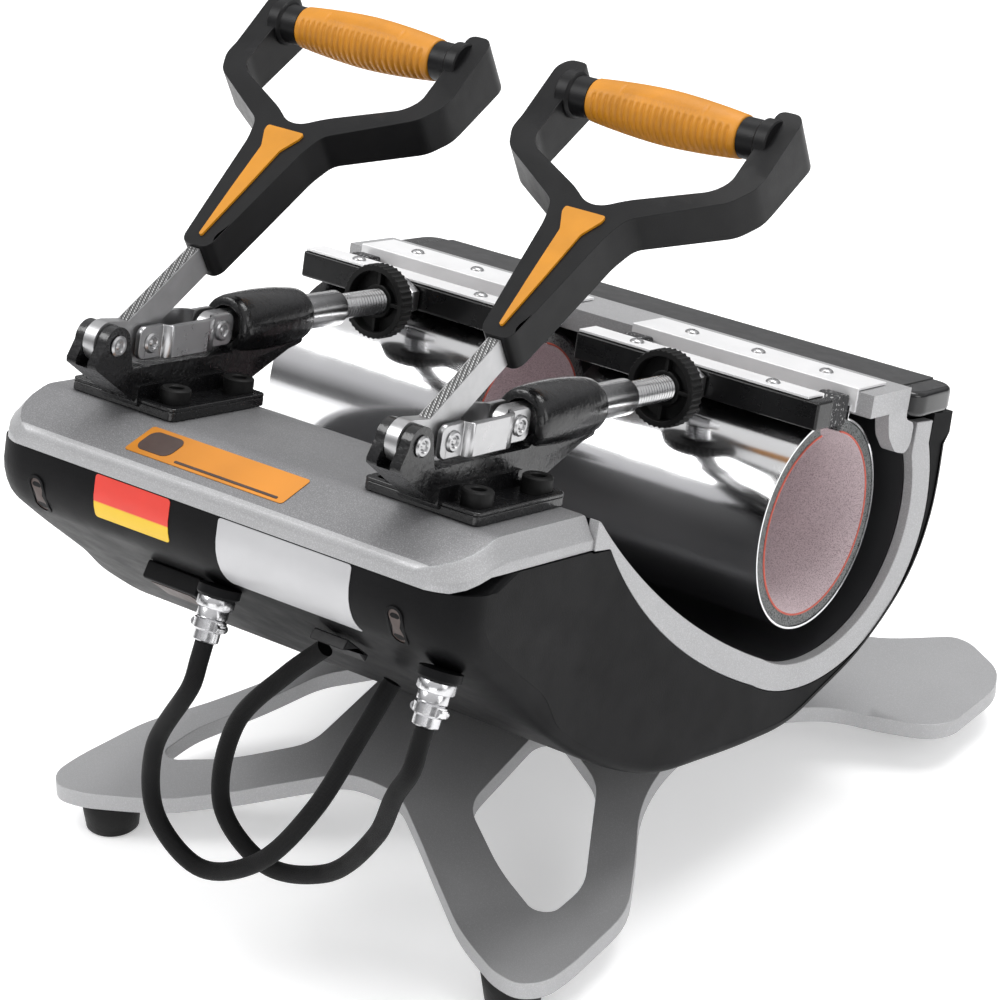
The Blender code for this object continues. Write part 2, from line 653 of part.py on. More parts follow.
def smooth_route(points, pitch):
    """Points a pitch apart on a centripetal curve through the route's points."""
    pts = [Vector(p) for p in points]
    pts = [2 * pts[0] - pts[1]] + pts + [2 * pts[-1] - pts[-2]]
    fine = []
    for i in range(1, len(pts) - 2):
        p0, p1, p2, p3 = pts[i - 1:i + 3]
        t = [0.0]
        for a, b in ((p0, p1), (p1, p2), (p2, p3)):
            t.append(t[-1] + sqrt((b - a).length))
        for k in range(24):
            u = t[1] + (t[2] - t[1]) * k / 24

            def mix(a, b, ta, tb):
                return a * ((tb - u) / (tb - ta)) + b * ((u - ta) / (tb - ta))
            a1, a2, a3 = (mix(p0, p1, t[0], t[1]), mix(p1, p2, t[1], t[2]),
                          mix(p2, p3, t[2], t[3]))
            b1, b2 = mix(a1, a2, t[0], t[2]), mix(a2, a3, t[1], t[3])
            fine.append(mix(b1, b2, t[1], t[2]))
    fine.append(pts[-2])
    out, run, want = [fine[0]], 0.0, pitch
    total = sum((b - a).length for a, b in zip(fine, fine[1:]))
    want = step = total / max(2, round(total / pitch))
    for a, b in zip(fine, fine[1:]):
        d = (b - a).length
        while run + d >= want - 1e-9 and len(out) * step < total + step / 2:
            out.append(a.lerp(b, (want - run) / d))
            want += step
        run += d
    return out


LEAD_X = (-5 * MM, 110 * MM)

# Points of each lead below its plug, in the row frame, millimetres.
LEAD_ROUTES = (
    [(-30, -208, 98), (-31, -207, 64), (-10, -206, 47), (23, -205, 61),
     (48, -197, 92), (60, -180, 124), (66, -166, 145)],
    [(100, -207, 124), (80, -196, 91), (44, -186, 54), (8, -184, 44),
     (-16, -182, 62), (-12, -176, 102), (10, -167, 130), (28, -163, 147)],
)

for number, x in ((1, LEAD_X[0]), (2, LEAD_X[1])):
    piece("lead_plug_%d" % number, plug(x), STEEL, machine)
    start = to_world(PLUG_TOP + Vector((x, 0, 0)) + PLUG_DIR * (PLUG_L + GAP))
    straight = [to_world(PLUG_TOP + Vector((x, 0, 0)) + PLUG_DIR * (PLUG_L + d * MM))
                for d in (9, 18)]
    route = [start, *straight] + [Vector(p) * MM for p in LEAD_ROUTES[number - 1]]
    curve = bpy.data.curves.new("heater_lead_%d" % number, "CURVE")
    curve.dimensions = "3D"
    curve.bevel_depth = LEAD_D / 2
    curve.bevel_resolution = 2
    curve.use_fill_caps = True
    pts = smooth_route(route, 2.2 * LEAD_D)
    spline = curve.splines.new("POLY")
    spline.points.add(len(pts) - 1)
    for point, co in zip(spline.points, pts):
        point.co = (*co, 1)
    curve.materials.append(material("heater_lead", BRAID))
    lead = bpy.data.objects.new("heater_lead_%d" % number, curve)
    bpy.context.scene.collection.objects.link(lead)

# --------------------------------------------------------------------- stand


def base_height(x, y):
    """Top of the stand: high under the machine, low at the leg tips."""
    d = hypot(x / (150 * MM), (y - AXIS_Y + 25 * MM) / (185 * MM))
    t = min(1.0, max(0.0, (d - 0.1) / 1.0))
    return BASE_TIP + (BASE_TOP - BASE_TIP) * (1 - t * t * (3 - 2 * t))


BASE_HALF = [(0, -143), (16, -144), (43, -162), (90, -196), (117, -210), (131, -212),
             (140, -203), (141, -186), (137, -140), (117, -105), (103, -83), (96, -58),
             (94, -30), (98, 5), (106, 35), (119, 58), (161, 74), (168, 84), (168, 124),
             (160, 141), (136, 156), (126, 157), (100, 134), (60, 116), (0, 112)]
LEG_HOLE = [(45, -132), (44, -80), (51, -72), (81, -84), (89, -98), (112, -137),
            (112, -160), (104, -164), (77, -152)]


def stand():
    nx, ny = 14, 15
    x0, x1, y0, y1 = -0.19, 0.19, AXIS_Y - 0.23, AXIS_Y + 0.18
    bm = bmesh.new()
    layers = []
    for drop in (0, BASE_T):
        layers.append([[bm.verts.new((x, y, base_height(x, y) - drop))
                        for y in (y0 + (y1 - y0) * j / ny for j in range(ny + 1))]
                       for x in (x0 + (x1 - x0) * i / nx for i in range(nx + 1))])
    for grid in layers:
        for i in range(nx):
            for j in range(ny):
                bm.faces.new((grid[i][j], grid[i + 1][j], grid[i + 1][j + 1],
                              grid[i][j + 1]))
    top, low = layers
    for j in range(ny):
        for i in (0, nx):
            bm.faces.new((top[i][j], top[i][j + 1], low[i][j + 1], low[i][j]))
    for i in range(nx):
        for j in (0, ny):
            bm.faces.new((top[i][j], top[i + 1][j], low[i + 1][j], low[i][j]))
    outline = [(x * MM, AXIS_Y + y * MM) for x, y in mirrored(BASE_HALF)]
    plan = prism(outline, -0.05, 0.15, "z",
                 [[(side * x * MM, AXIS_Y + y * MM) for x, y in LEG_HOLE]
                  for side in (-1, 1)])
    return solid_op(bm, [plan], "INTERSECT")


piece("base_frame", stand(), SILVER)

FEET = ((-115, -193), (115, -193), (-130, 112), (130, 112))
for number, (x, y) in enumerate(FEET, 1):
    at = Vector((x * MM, AXIS_Y + y * MM, 0))
    piece("rubber_foot_%d" % number,
          turned([(0, 0), (FOOT_R - 2 * MM, 0), (FOOT_R, FOOT_H), (0, FOOT_H)],
                 at, "z", 20), RUBBER)
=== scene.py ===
import bpy
import bmesh
from math import sin, cos, pi, radians, hypot, atan2, sqrt
from mathutils import Vector, Matrix
from mathutils.geometry import delaunay_2d_cdt


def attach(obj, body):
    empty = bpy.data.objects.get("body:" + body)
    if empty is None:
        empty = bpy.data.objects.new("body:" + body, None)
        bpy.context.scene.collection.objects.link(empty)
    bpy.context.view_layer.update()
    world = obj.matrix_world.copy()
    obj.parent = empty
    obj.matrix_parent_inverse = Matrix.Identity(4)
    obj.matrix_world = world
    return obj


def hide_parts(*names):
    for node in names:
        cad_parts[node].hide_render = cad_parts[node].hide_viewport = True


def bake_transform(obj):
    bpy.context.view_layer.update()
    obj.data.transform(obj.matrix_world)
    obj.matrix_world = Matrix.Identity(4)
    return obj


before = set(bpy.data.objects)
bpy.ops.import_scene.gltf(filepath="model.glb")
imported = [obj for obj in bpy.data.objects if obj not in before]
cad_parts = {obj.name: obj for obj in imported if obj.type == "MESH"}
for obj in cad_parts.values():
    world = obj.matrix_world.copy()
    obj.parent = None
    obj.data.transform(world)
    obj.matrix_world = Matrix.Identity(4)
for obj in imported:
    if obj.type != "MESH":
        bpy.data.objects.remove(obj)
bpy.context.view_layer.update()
MM = 0.001

# ---- dimensions
TILT = radians(13.4)
AXIS_Y, AXIS_Z = 44.06 * MM, 154 * MM      # heater axis in the row frame
# every length below is in millimetres, in the tilted frame of the machine
STATION_X = 79.8
MACHINE = Matrix.Translation((0, AXIS_Y, AXIS_Z)) @ Matrix.Rotation(-TILT, 4, "X")
END_FRONT, NEAR_FLARE, END_FLARE, FLARE_START = 126.5, 0.0885, 0.136, -157
TUB_R = 64.5
ENDS = (("left", -1), ("right", 1))
PIVOT, LINK, PUSH = (-236, 53.8), (-213, 52.3), (-168, 53.0)
GRIP_Y, GRIP_Z = -79.3, 173.5
SLOPE = radians(34.5)
ROD_Z = 53


# ---- camera, world, lights
def unit(v):
    return min(1.0, max(0.0, v))


def ease(v):
    """Smooth step from 0 to 1."""
    t = unit(v)
    return t * t * (3 - 2 * t)


def new_object(name, data):
    ob = bpy.data.objects.new(name, data)
    bpy.context.scene.collection.objects.link(ob)
    return ob


def aim(ob, at, towards):
    ob.location = at
    ob.rotation_euler = (Vector(towards) - Vector(at)).to_track_quat("-Z", "Y").to_euler()


def fill(nt, made, sockets):
    """Give each socket a constant, a colour or the output of another node."""
    for key, value in sockets.items():
        sock = made.inputs[key]
        if hasattr(value, "links"):
            nt.links.new(value, sock)
        else:
            sock.default_value = (*value, 1) if sock.type == "RGBA" else value
    return made


def node(nt, kind, sockets={}):
    return fill(nt, nt.nodes.new("ShaderNode" + kind), sockets)


cam_data = bpy.data.cameras.new("camera")
cam_data.lens, cam_data.sensor_width = 119.5, 36
cam_data.clip_start, cam_data.clip_end = 0.05, 20
camera = new_object("camera", cam_data)
aim(camera, (0.8095, -1.1270 + AXIS_Y, 0.8193), (-0.0172, -0.0259 + AXIS_Y, 0.1294))
bpy.context.scene.camera = camera
bpy.context.scene.view_settings.view_transform = "Standard"

# White to the camera; for the reflections a room that is dark at eye level.
world = bpy.data.worlds.new("studio")
bpy.context.scene.world = world
world.use_nodes = True
wt = world.node_tree
wt.nodes.clear()
w_up = node(wt, "SeparateXYZ", {0: node(wt, "TexCoord").outputs["Generated"]}).outputs["Z"]
w_height = node(wt, "MapRange", {"Value": w_up, "From Min": -1}).outputs[0]
w_ramp = node(wt, "ValToRGB", {0: w_height})
w_stops = w_ramp.color_ramp.elements
w_stops[0].position, w_stops[0].color = 0.40, (0.55, 0.55, 0.56, 1)
w_stops[1].position, w_stops[1].color = 0.95, (1.0, 1.0, 1.0, 1)
for spot, tone in ((0.47, 0.30), (0.56, 0.16), (0.68, 0.75)):
    w_stops.new(spot).color = (tone, tone, tone * 1.02, 1)
w_room = node(wt, "Background", {0: w_ramp.outputs[0], 1: 0.85})
w_white = node(wt, "Background", {0: (1, 1, 1), 1: 1.0})
w_seen = node(wt, "LightPath").outputs["Is Camera Ray"]
w_both = node(wt, "MixShader", {0: w_seen, 1: w_room.outputs[0], 2: w_white.outputs[0]})
node(wt, "OutputWorld", {0: w_both.outputs[0]})

for name, at, towards, size, power in (
        ("key", (-0.9, -0.9, 1.5), (0, 0, 0.15), (1.0, 0.8), 15),
        ("top", (0.1, 0.5, 1.7), (0, 0, 0.2), (1.3, 0.6), 17),
        ("side", (1.6, -0.1, 0.7), (0.1, 0, 0.15), (0.7, 1.0), 5),
        ("front", (0.5, -1.7, 0.35), (0, 0, 0.15), (1.4, 0.5), 4)):
    lamp = bpy.data.lights.new(name, "AREA")
    lamp.shape = "RECTANGLE"
    lamp.size, lamp.size_y = size
    lamp.energy = power
    aim(new_object(name, lamp), at, towards)


# ---- materials
def noise(nt, scale, detail=3.0, rough=0.55):
    where = node(nt, "TexCoord").outputs["Object"]
    return node(nt, "TexNoise", {"Vector": where, "Scale": scale, "Detail": detail,
                                 "Roughness": rough}).outputs["Fac"]


def ramp(nt, value, stops):
    """Colour ramp with two stops, each (position, colour)."""
    made = node(nt, "ValToRGB", {0: value})
    for element, (position, colour) in zip(made.color_ramp.elements, stops):
        element.position, element.color = position, (*colour, 1)
    return made.outputs[0]


def mix(nt, fac, a, b, mode="MIX"):
    m = nt.nodes.new("ShaderNodeMix")
    m.data_type, m.blend_type = "RGBA", mode
    return fill(nt, m, {0: fac, 6: a, 7: b}).outputs[2]


def span(nt, value, lo, hi, from_lo=0.3, from_hi=0.7):
    return node(nt, "MapRange", {"Value": value, "From Min": from_lo, "From Max": from_hi,
                                 "To Min": lo, "To Max": hi}).outputs[0]


def bump(nt, height, strength, distance, under=None):
    made = node(nt, "Bump", {"Height": height, "Strength": strength, "Distance": distance})
    if under is not None:
        nt.links.new(under, made.inputs["Normal"])
    return made.outputs[0]


def shader(name):
    mat = bpy.data.materials.new(name)
    mat.use_nodes = True
    nt = mat.node_tree
    return mat, nt, nt.nodes["Principled BSDF"]


def blotched(nt, colour, scale, detail, less, more):
    """Colour that drifts slowly between two shares of itself."""
    return ramp(nt, noise(nt, scale, detail), [
        (0.3, tuple(c * less for c in colour)), (0.7, tuple(min(1, c * more) for c in colour))])


def surface(name, base, rough, metal, patch, grain, fleck=None, coat=0.0, spec=0.5, lump=None):
    """General procedural finish.

    patch: scale and depth of slow colour change; grain: scale, strength and
    depth of the fine bump; fleck: (scale, colour, share) of small spots;
    lump: (scale, strength, depth) of a coarse casting bump."""
    mat, nt, bsdf = shader(name)
    colour = blotched(nt, base, patch[0], 3, 1 - patch[1], 1 + patch[1])
    if fleck:
        scale, tone, share = fleck
        dots = ramp(nt, noise(nt, scale, 1, 0.4),
                    [(1 - share - 0.04, (0, 0, 0)), (1 - share, (1, 1, 1))])
        colour = mix(nt, dots, colour, tone)
    under = bump(nt, noise(nt, lump[0], 3), lump[1], lump[2]) if lump else None
    fill(nt, bsdf, {"Base Color": colour, "Metallic": metal, "Specular IOR Level": spec,
                    "Roughness": span(nt, noise(nt, patch[0] * 3, 4), *rough),
                    "Coat Weight": coat, "Coat Roughness": 0.08,
                    "Normal": bump(nt, noise(nt, grain[0], 2), grain[1], grain[2], under)})
    return mat


def woven(name, dark, light, pitch, rough, metal=0.0, kind="Object", depth=0.0004, spec=0.5):
    """Two crossing sets of threads."""
    mat, nt, bsdf = shader(name)
    waves = []
    for angle in (pi / 4, -pi / 4):
        turn = (angle, angle, angle) if kind == "Object" else (0, 0, angle)
        where = node(nt, "Mapping", {0: node(nt, "TexCoord").outputs[kind], "Rotation": turn})
        waves.append(node(nt, "TexWave", {"Vector": where.outputs[0], "Scale": pitch,
                                          "Distortion": 0.6,
                                          "Detail Scale": 3.0}).outputs["Fac"])
    cross = mix(nt, 1.0, *waves, "MULTIPLY")
    fill(nt, bsdf, {"Base Color": ramp(nt, cross, [(0.05, dark), (0.7, light)]),
                    "Roughness": span(nt, noise(nt, 60), rough - 0.08, rough + 0.05),
                    "Metallic": metal, "Specular IOR Level": spec,
                    "Normal": bump(nt, cross, 0.5, depth)})
    return mat


def two_tone(name, top, low, height, soft, rough=0.4):
    """Colour that changes at one height of the row frame."""
    mat, nt, bsdf = shader(name)
    up = node(nt, "SeparateXYZ", {0: node(nt, "TexCoord").outputs["Object"]}).outputs["Z"]
    colour = mix(nt, span(nt, up, 0, 1, height - soft, height + soft),
                 blotched(nt, low, 90, 4, 0.93, 1), blotched(nt, top, 90, 4, 0.93, 1))
    fill(nt, bsdf, {"Base Color": colour,
                    "Roughness": span(nt, noise(nt, 200), rough - 0.06, rough + 0.06),
                    "Normal": bump(nt, noise(nt, 1500, 2), 0.08, 0.0001)})
    return mat


SILVER = surface("silver_paint", (0.38, 0.38, 0.385), (0.42, 0.52), 0.45, (20, 0.03), (1500, 0.15,
    0.0001), fleck=(2300, (0.44, 0.44, 0.45), 0.40))
# Darker copy of the silver paint for the flat deck top: painted shade, since the top and the
# chamfer are one painted shell
DECK_PAINTED_SHADE = surface("deck_paint", (0.185, 0.185, 0.19), (0.40, 0.50), 0.40, (18, 0.03), (1500, 0.12,
    0.0001), fleck=(2300, (0.28, 0.28, 0.285), 0.40))
TRIM = surface("trim_paint", (0.36, 0.36, 0.365), (0.42, 0.52), 0.40, (20, 0.03), (1500, 0.12,
    0.0001), fleck=(2300, (0.45, 0.45, 0.46), 0.40))
PLASTIC = surface("black_plastic", (0.006, 0.006, 0.0065), (0.42, 0.52), 0.0, (25, 0.2), (1400,
    0.3, 0.0002), spec=0.08)
PLASTIC_FINE = surface("handle_plastic", (0.0065, 0.0065, 0.007), (0.34, 0.44), 0.0, (40, 0.2),
    (1800, 0.22, 0.0002), spec=0.2)
GLOSS = surface("gloss_black", (0.006, 0.006, 0.0065), (0.14, 0.22), 0.0, (40, 0.2), (300, 0.04,
    0.0002), coat=0.25, spec=0.4)
CAST = surface("black_casting", (0.005, 0.005, 0.0055), (0.2, 0.32), 0.0, (60, 0.3), (620, 0.35,
    0.0005), coat=0.3, lump=(140, 0.4, 0.0012), spec=0.4)
BAR = surface("black_bar", (0.006, 0.006, 0.0065), (0.24, 0.34), 0.0, (50, 0.3), (700, 0.15,
    0.0002), spec=0.4)
CAP_TOP = surface("cap_top", (0.045, 0.045, 0.046), (0.5, 0.6), 0.0, (40, 0.1), (1500, 0.15,
    0.0001), spec=0.3)
ROD = surface("chrome_rod", (0.58, 0.58, 0.585), (0.2, 0.28), 1.0, (80, 0.05), (900, 0.05, 0.0001))
STEEL = surface("steel", (0.46, 0.46, 0.465), (0.26, 0.34), 1.0, (60, 0.04), (1500, 0.06, 0.0001))
STRIP = surface("strip_steel", (0.80, 0.80, 0.805), (0.42, 0.5), 0.35, (40, 0.03), (900, 0.05,
    0.0001))
GALV = surface("plated_steel", (0.42, 0.42, 0.425), (0.3, 0.38), 0.9, (90, 0.08), (900, 0.12,
    0.0001))
SERRATED = woven("serrated_steel", (0.08, 0.08, 0.08), (0.36, 0.36, 0.36), 330, 0.4, 0.8)
MIRROR = surface("polished_sheet", (0.72, 0.72, 0.73), (0.1, 0.16), 1.0, (14, 0.03), (60, 0.03,
    0.0006))
LINER = surface("liner_sheet", (0.03, 0.03, 0.032), (0.3, 0.38), 0.3, (16, 0.15), (80, 0.05,
    0.0006))
FOAM = surface("foam", (0.15, 0.155, 0.155), (0.75, 0.9), 0.0, (120, 0.15), (900, 0.6, 0.0006),
    fleck=(1500, (0.02, 0.02, 0.02), 0.40))
FOAM_DARK = surface("foam_dark", (0.03, 0.03, 0.032), (0.7, 0.9), 0.0, (150, 0.3), (700, 0.7,
    0.0008), fleck=(900, (0.3, 0.3, 0.3), 0.33))
CLOTH = surface("lining_cloth", (0.66, 0.56, 0.58), (0.45, 0.6), 0.0, (60, 0.05), (2200, 0.3,
    0.0002), fleck=(2600, (0.36, 0.28, 0.30), 0.42))
RED = surface("red_rim", (0.50, 0.10, 0.07), (0.6, 0.75), 0.0, (90, 0.15), (900, 0.3, 0.0002))
ORANGE = surface("orange_rubber", (0.50, 0.195, 0.004), (0.46, 0.58), 0.0, (60, 0.10), (1300,
    0.35, 0.0002))
INLAY = surface("orange_plastic", (0.50, 0.20, 0.004), (0.36, 0.46), 0.0, (60, 0.08), (1300, 0.25,
    0.0001))
RUBBER = surface("rubber", (0.007, 0.007, 0.007), (0.45, 0.6), 0.0, (60, 0.3), (900, 0.35,
    0.0003), spec=0.2)
CHROME = surface("plug_chrome", (0.60, 0.60, 0.61), (0.18, 0.28), 1.0, (120, 0.12), (600, 0.12,
    0.0002))
BOARD = surface("board", (0.02, 0.16, 0.06), (0.4, 0.5), 0.0, (60, 0.2), (900, 0.2, 0.0001))
BRAID = woven("braid", (0.002, 0.002, 0.002), (0.018, 0.018, 0.019), 5.0, 0.6, 0.0, "UV",
    spec=0.12)
PAPER = surface("rating_paper", (0.46, 0.46, 0.47), (0.3, 0.42), 0.2, (30, 0.05), (900, 0.08,
    0.0001))
STICKER = surface("orange_sticker", (0.54, 0.20, 0.015), (0.34, 0.46), 0.0, (14, 0.22), (500, 0.1,
    0.0001))
DARK_INK = surface("sticker_mark", (0.05, 0.03, 0.025), (0.4, 0.5), 0.0, (60, 0.2), (900, 0.1,
    0.0001))
SCREEN = surface("screen", (0.02, 0.03, 0.035), (0.05, 0.12), 0.0, (40, 0.2), (200, 0.02, 0.0001),
    coat=0.8)


# ---- mesh helpers
def frame_point(axis, u, v, t):
    return {"x": (t, u, v), "y": (u, t, v), "z": (u, v, t)}[axis]


def move(bm, by):
    bmesh.ops.translate(bm, verts=bm.verts, vec=Vector(by))


def bm_mesh(bm, name="work", orient=True):
    """Mesh made from a bmesh, which is used up."""
    if orient:
        bmesh.ops.recalc_face_normals(bm, faces=bm.faces)
    mesh = bpy.data.meshes.new(name)
    bm.to_mesh(mesh)
    bm.free()
    return mesh


def prism(outline, t0, t1, axis="x", holes=()):
    bm = bmesh.new()
    edges = []
    for loop in (outline, *holes):
        verts = [bm.verts.new(frame_point(axis, u, v, t0)) for u, v in loop]
        edges += [bm.edges.new((a, b)) for a, b in zip(verts, verts[1:] + verts[:1])]
    if holes:
        bmesh.ops.triangle_fill(bm, use_beauty=True, use_dissolve=False, edges=edges)
    else:
        bm.faces.new(bm.verts)
    grown = bmesh.ops.extrude_face_region(bm, geom=bm.faces[:])
    moved = [g for g in grown["geom"] if isinstance(g, bmesh.types.BMVert)]
    bmesh.ops.translate(bm, verts=moved, vec=frame_point(axis, 0, 0, t1 - t0))
    return bm


def box(x0, x1, y0, y1, z0, z1):
    return prism([(y0, z0), (y1, z0), (y1, z1), (y0, z1)], x0, x1)


def turned(profile, centre=(0, 0, 0), axis="x", steps=48, closed=True, knurl=None):
    """Solid of revolution; knurl(radius, along, turn) may change a radius."""
    bm = bmesh.new()
    rings = []
    for r, t in profile:
        if r < 1e-7:
            rings.append([bm.verts.new(frame_point(axis, 0, 0, t))])
            continue
        row = []
        for i in range(steps):
            a = 2 * pi * i / steps
            rr = knurl(r, t, a) if knurl else r
            row.append(bm.verts.new(frame_point(axis, rr * cos(a), rr * sin(a), t)))
        rings.append(row)
    pairs = list(zip(rings, rings[1:])) + ([(rings[-1], rings[0])] if closed else [])
    for a, b in pairs:
        if len(a) == 1 and len(b) == 1:
            continue
        for i in range(steps):
            j = (i + 1) % steps
            if len(a) > 1 and len(b) > 1:
                bm.faces.new((a[i], a[j], b[j], b[i]))
            elif len(a) > 1:
                bm.faces.new((a[i], a[j], b[0]))
            else:
                bm.faces.new((a[0], b[j], b[i]))
    move(bm, centre)
    return bm


def circle(cu, cv, r, steps=32, start=0.0):
    return [(cu + r * cos(start + 2 * pi * i / steps), cv + r * sin(start + 2 * pi * i / steps))
            for i in range(steps)]


def capsule(a, b, ra, rb, steps=20):
    d = Vector(b) - Vector(a)
    lean = atan2(d[1], d[0])
    out = []
    for c, r, turn in ((b, rb, -pi / 2), (a, ra, pi / 2)):
        for k in range(steps + 1):
            w = lean + turn + pi * k / steps
            out.append((c[0] + r * cos(w), c[1] + r * sin(w)))
    return out


def bezier(p0, p1, p2, steps):
    out = []
    for k in range(steps + 1):
        t = k / steps
        out.append(tuple((1 - t) ** 2 * a + 2 * t * (1 - t) * b + t * t * c
                         for a, b, c in zip(p0, p1, p2)))
    return out


def rounded(x0, x1, y0, y1, r, steps=8):
    out = []
    for cx, cy, q in ((x1 - r, y1 - r, 0), (x0 + r, y1 - r, 1),
                      (x0 + r, y0 + r, 2), (x1 - r, y0 + r, 3)):
        for k in range(steps + 1):
            a = pi / 2 * (q + k / steps)
            out.append((cx + r * cos(a), cy + r * sin(a)))
    return out


def soften(points, r, closed=True, steps=5):
    """Polygon with each corner rounded to about r."""
    out = []
    n = len(points)
    for i in range(n):
        p, a, b = Vector(points[i]), Vector(points[i - 1]), Vector(points[(i + 1) % n])
        if not closed and i in (0, n - 1):
            out.append(tuple(p))
            continue
        da, db = (a - p), (b - p)
        k = min(r, da.length * 0.48, db.length * 0.48)
        out += bezier(p + da.normalized() * k, p, p + db.normalized() * k, steps)
    return out


def smooth_route(points, pitch):
    """Points a pitch apart on a centripetal curve through the route's points."""
    pts = [Vector(p) for p in points]
    pts = [2 * pts[0] - pts[1]] + pts + [2 * pts[-1] - pts[-2]]
    fine = []
    for i in range(1, len(pts) - 2):
        p0, p1, p2, p3 = pts[i - 1:i + 3]
        t = [0.0]
        for a, b in ((p0, p1), (p1, p2), (p2, p3)):
            t.append(t[-1] + sqrt((b - a).length))
        for k in range(24):
            u = t[1] + (t[2] - t[1]) * k / 24

            def blend(a, b, ta, tb):
                return a * ((tb - u) / (tb - ta)) + b * ((u - ta) / (tb - ta))
            a1, a2, a3 = (blend(p0, p1, t[0], t[1]), blend(p1, p2, t[1], t[2]),
                          blend(p2, p3, t[2], t[3]))
            fine.append(blend(blend(a1, a2, t[0], t[2]), blend(a2, a3, t[1], t[3]), t[1], t[2]))
    fine.append(pts[-2])
    total = sum((b - a).length for a, b in zip(fine, fine[1:]))
    step = total / max(2, round(total / pitch))
    out, run, want = [fine[0]], 0.0, step
    for a, b in zip(fine, fine[1:]):
        d = (b - a).length
        while run + d >= want - 1e-9 and len(out) * step < total + step / 2:
            out.append(a.lerp(b, (want - run) / d))
            want += step
        run += d
    return out


def solid_op(first, others, kind):
    result = first
    for other in others:
        base, tool = (new_object("work", bm_mesh(bm)) for bm in (result, other))
        mod = base.modifiers.new("op", "BOOLEAN")
        mod.operation, mod.object = kind, tool
        shaped = base.evaluated_get(bpy.context.evaluated_depsgraph_get())
        result = bmesh.new()
        result.from_mesh(shaped.to_mesh())
        shaped.to_mesh_clear()
        for ob in (base, tool):
            data = ob.data
            bpy.data.objects.remove(ob, do_unlink=True)
            bpy.data.meshes.remove(data)
        bmesh.ops.remove_doubles(result, verts=result.verts, dist=1e-3)
    return result


def joined(bms):
    return solid_op(bms[0], bms[1:], "UNION")


def cut(bm, cutters):
    return solid_op(bm, cutters, "DIFFERENCE")


def gather(bms):
    """Loose parts of one piece in one bmesh, as for a row of screws."""
    out = bmesh.new()
    for bm in bms:
        mesh = bm_mesh(bm)
        out.from_mesh(mesh)
        bpy.data.meshes.remove(mesh)
    return out


def add(name, bm, mat, stands_for=(), edge=None, shift=(0, 0, 0), body="machine", slot=None,
        machine=True, smooth=38, ride=True):
    """Finished piece: placed, shaded, bevelled, given a slot and a body.

    edge: width, segments and least angle of the bevel. The slot is the look's
    own name; the slot argument is not used."""
    move(bm, shift)
    bmesh.ops.scale(bm, verts=bm.verts, vec=(MM, MM, MM))
    if machine:
        bmesh.ops.transform(bm, matrix=MACHINE, verts=bm.verts)
    mesh = bm_mesh(bm, name)
    mesh.shade_smooth()
    ob = new_object(name, mesh)
    mesh.materials.append(mat)
    if edge:
        mod = ob.modifiers.new("edge", "BEVEL")
        mod.width, mod.segments = edge[0] * MM, edge[1]
        mod.limit_method = "ANGLE"
        mod.angle_limit = radians(edge[2] if len(edge) > 2 else 38)
        mod.harden_normals = True
    else:
        mesh.set_sharp_from_angle(angle=radians(smooth))
    if ride:
        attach(ob, body)
    if stands_for:
        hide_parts(*stands_for)
    return ob


def to_row(p):
    """Machine frame in millimetres to the row frame in metres."""
    return MACHINE @ (Vector(p) * MM)


def loft(rings, caps=True):
    """Skin over rings of equal length, each a list of points."""
    bm = bmesh.new()
    rows = [[bm.verts.new(p) for p in ring] for ring in rings]
    n = len(rows[0])
    for a, b in zip(rows, rows[1:]):
        for i in range(n):
            j = (i + 1) % n
            bm.faces.new((a[i], a[j], b[j], b[i]))
    if caps:
        bm.faces.new(rows[0])
        bm.faces.new(rows[-1])
    return bm


def meshed(outline, holes, pitch, place_low, place_high):
    """Slab over a flat outline whose two faces are finely meshed, so they can curve.

    place_low and place_high turn a flat point into a point in space."""
    loops = [outline, *holes]
    pts, edges = [], []
    for ring in loops:
        start = len(pts)
        pts += [Vector(p) for p in ring]
        n = len(ring)
        edges += [(start + i, start + (i + 1) % n) for i in range(n)]
    rim = len(pts)
    us, vs = [p[0] for p in outline], [p[1] for p in outline]
    nu, nv = int((max(us) - min(us)) / pitch) + 1, int((max(vs) - min(vs)) / pitch) + 1

    def inside(u, v, ring):
        hit = False
        for (a, b), (c, d) in zip(ring, ring[1:] + ring[:1]):
            if (b > v) != (d > v) and u < (c - a) * (v - b) / (d - b) + a:
                hit = not hit
        return hit
    near = pitch * 0.45
    for i in range(1, nu):
        for j in range(1, nv):
            u, v = min(us) + pitch * (i - 0.5), min(vs) + pitch * (j - 0.5)
            if not inside(u, v, outline) or any(inside(u, v, h) for h in holes):
                continue
            if all((p[0] - u) ** 2 + (p[1] - v) ** 2 > near ** 2 for p in pts[:rim]):
                pts.append(Vector((u, v)))
    flat, _, faces, orig, _, _ = delaunay_2d_cdt(pts, edges, [], 1, 1e-5)
    keep = []
    for f in faces:
        cu = sum(flat[i][0] for i in f) / len(f)
        cv = sum(flat[i][1] for i in f) / len(f)
        if inside(cu, cv, outline) and not any(inside(cu, cv, h) for h in holes):
            keep.append(f)
    bm = bmesh.new()
    low = [bm.verts.new(place_low(*p)) for p in flat]
    high = [bm.verts.new(place_high(*p)) for p in flat]
    count = {}
    for f in keep:
        bm.faces.new([low[i] for i in f][::-1])
        bm.faces.new([high[i] for i in f])
        for a, b in zip(f, list(f[1:]) + [f[0]]):
            count[frozenset((a, b))] = count.get(frozenset((a, b)), 0) + 1
    for pair, times in count.items():
        if times == 1:
            a, b = pair
            bm.faces.new((low[a], low[b], high[b], high[a]))
    loose = [v for v in bm.verts if not v.link_faces]
    bmesh.ops.delete(bm, geom=loose, context="VERTS")
    return bm


def curve_points(points, pitch):
    """Smooth flat curve through points."""
    return [(p.x, p.y) for p in smooth_route([(u, v, 0) for u, v in points], pitch)]


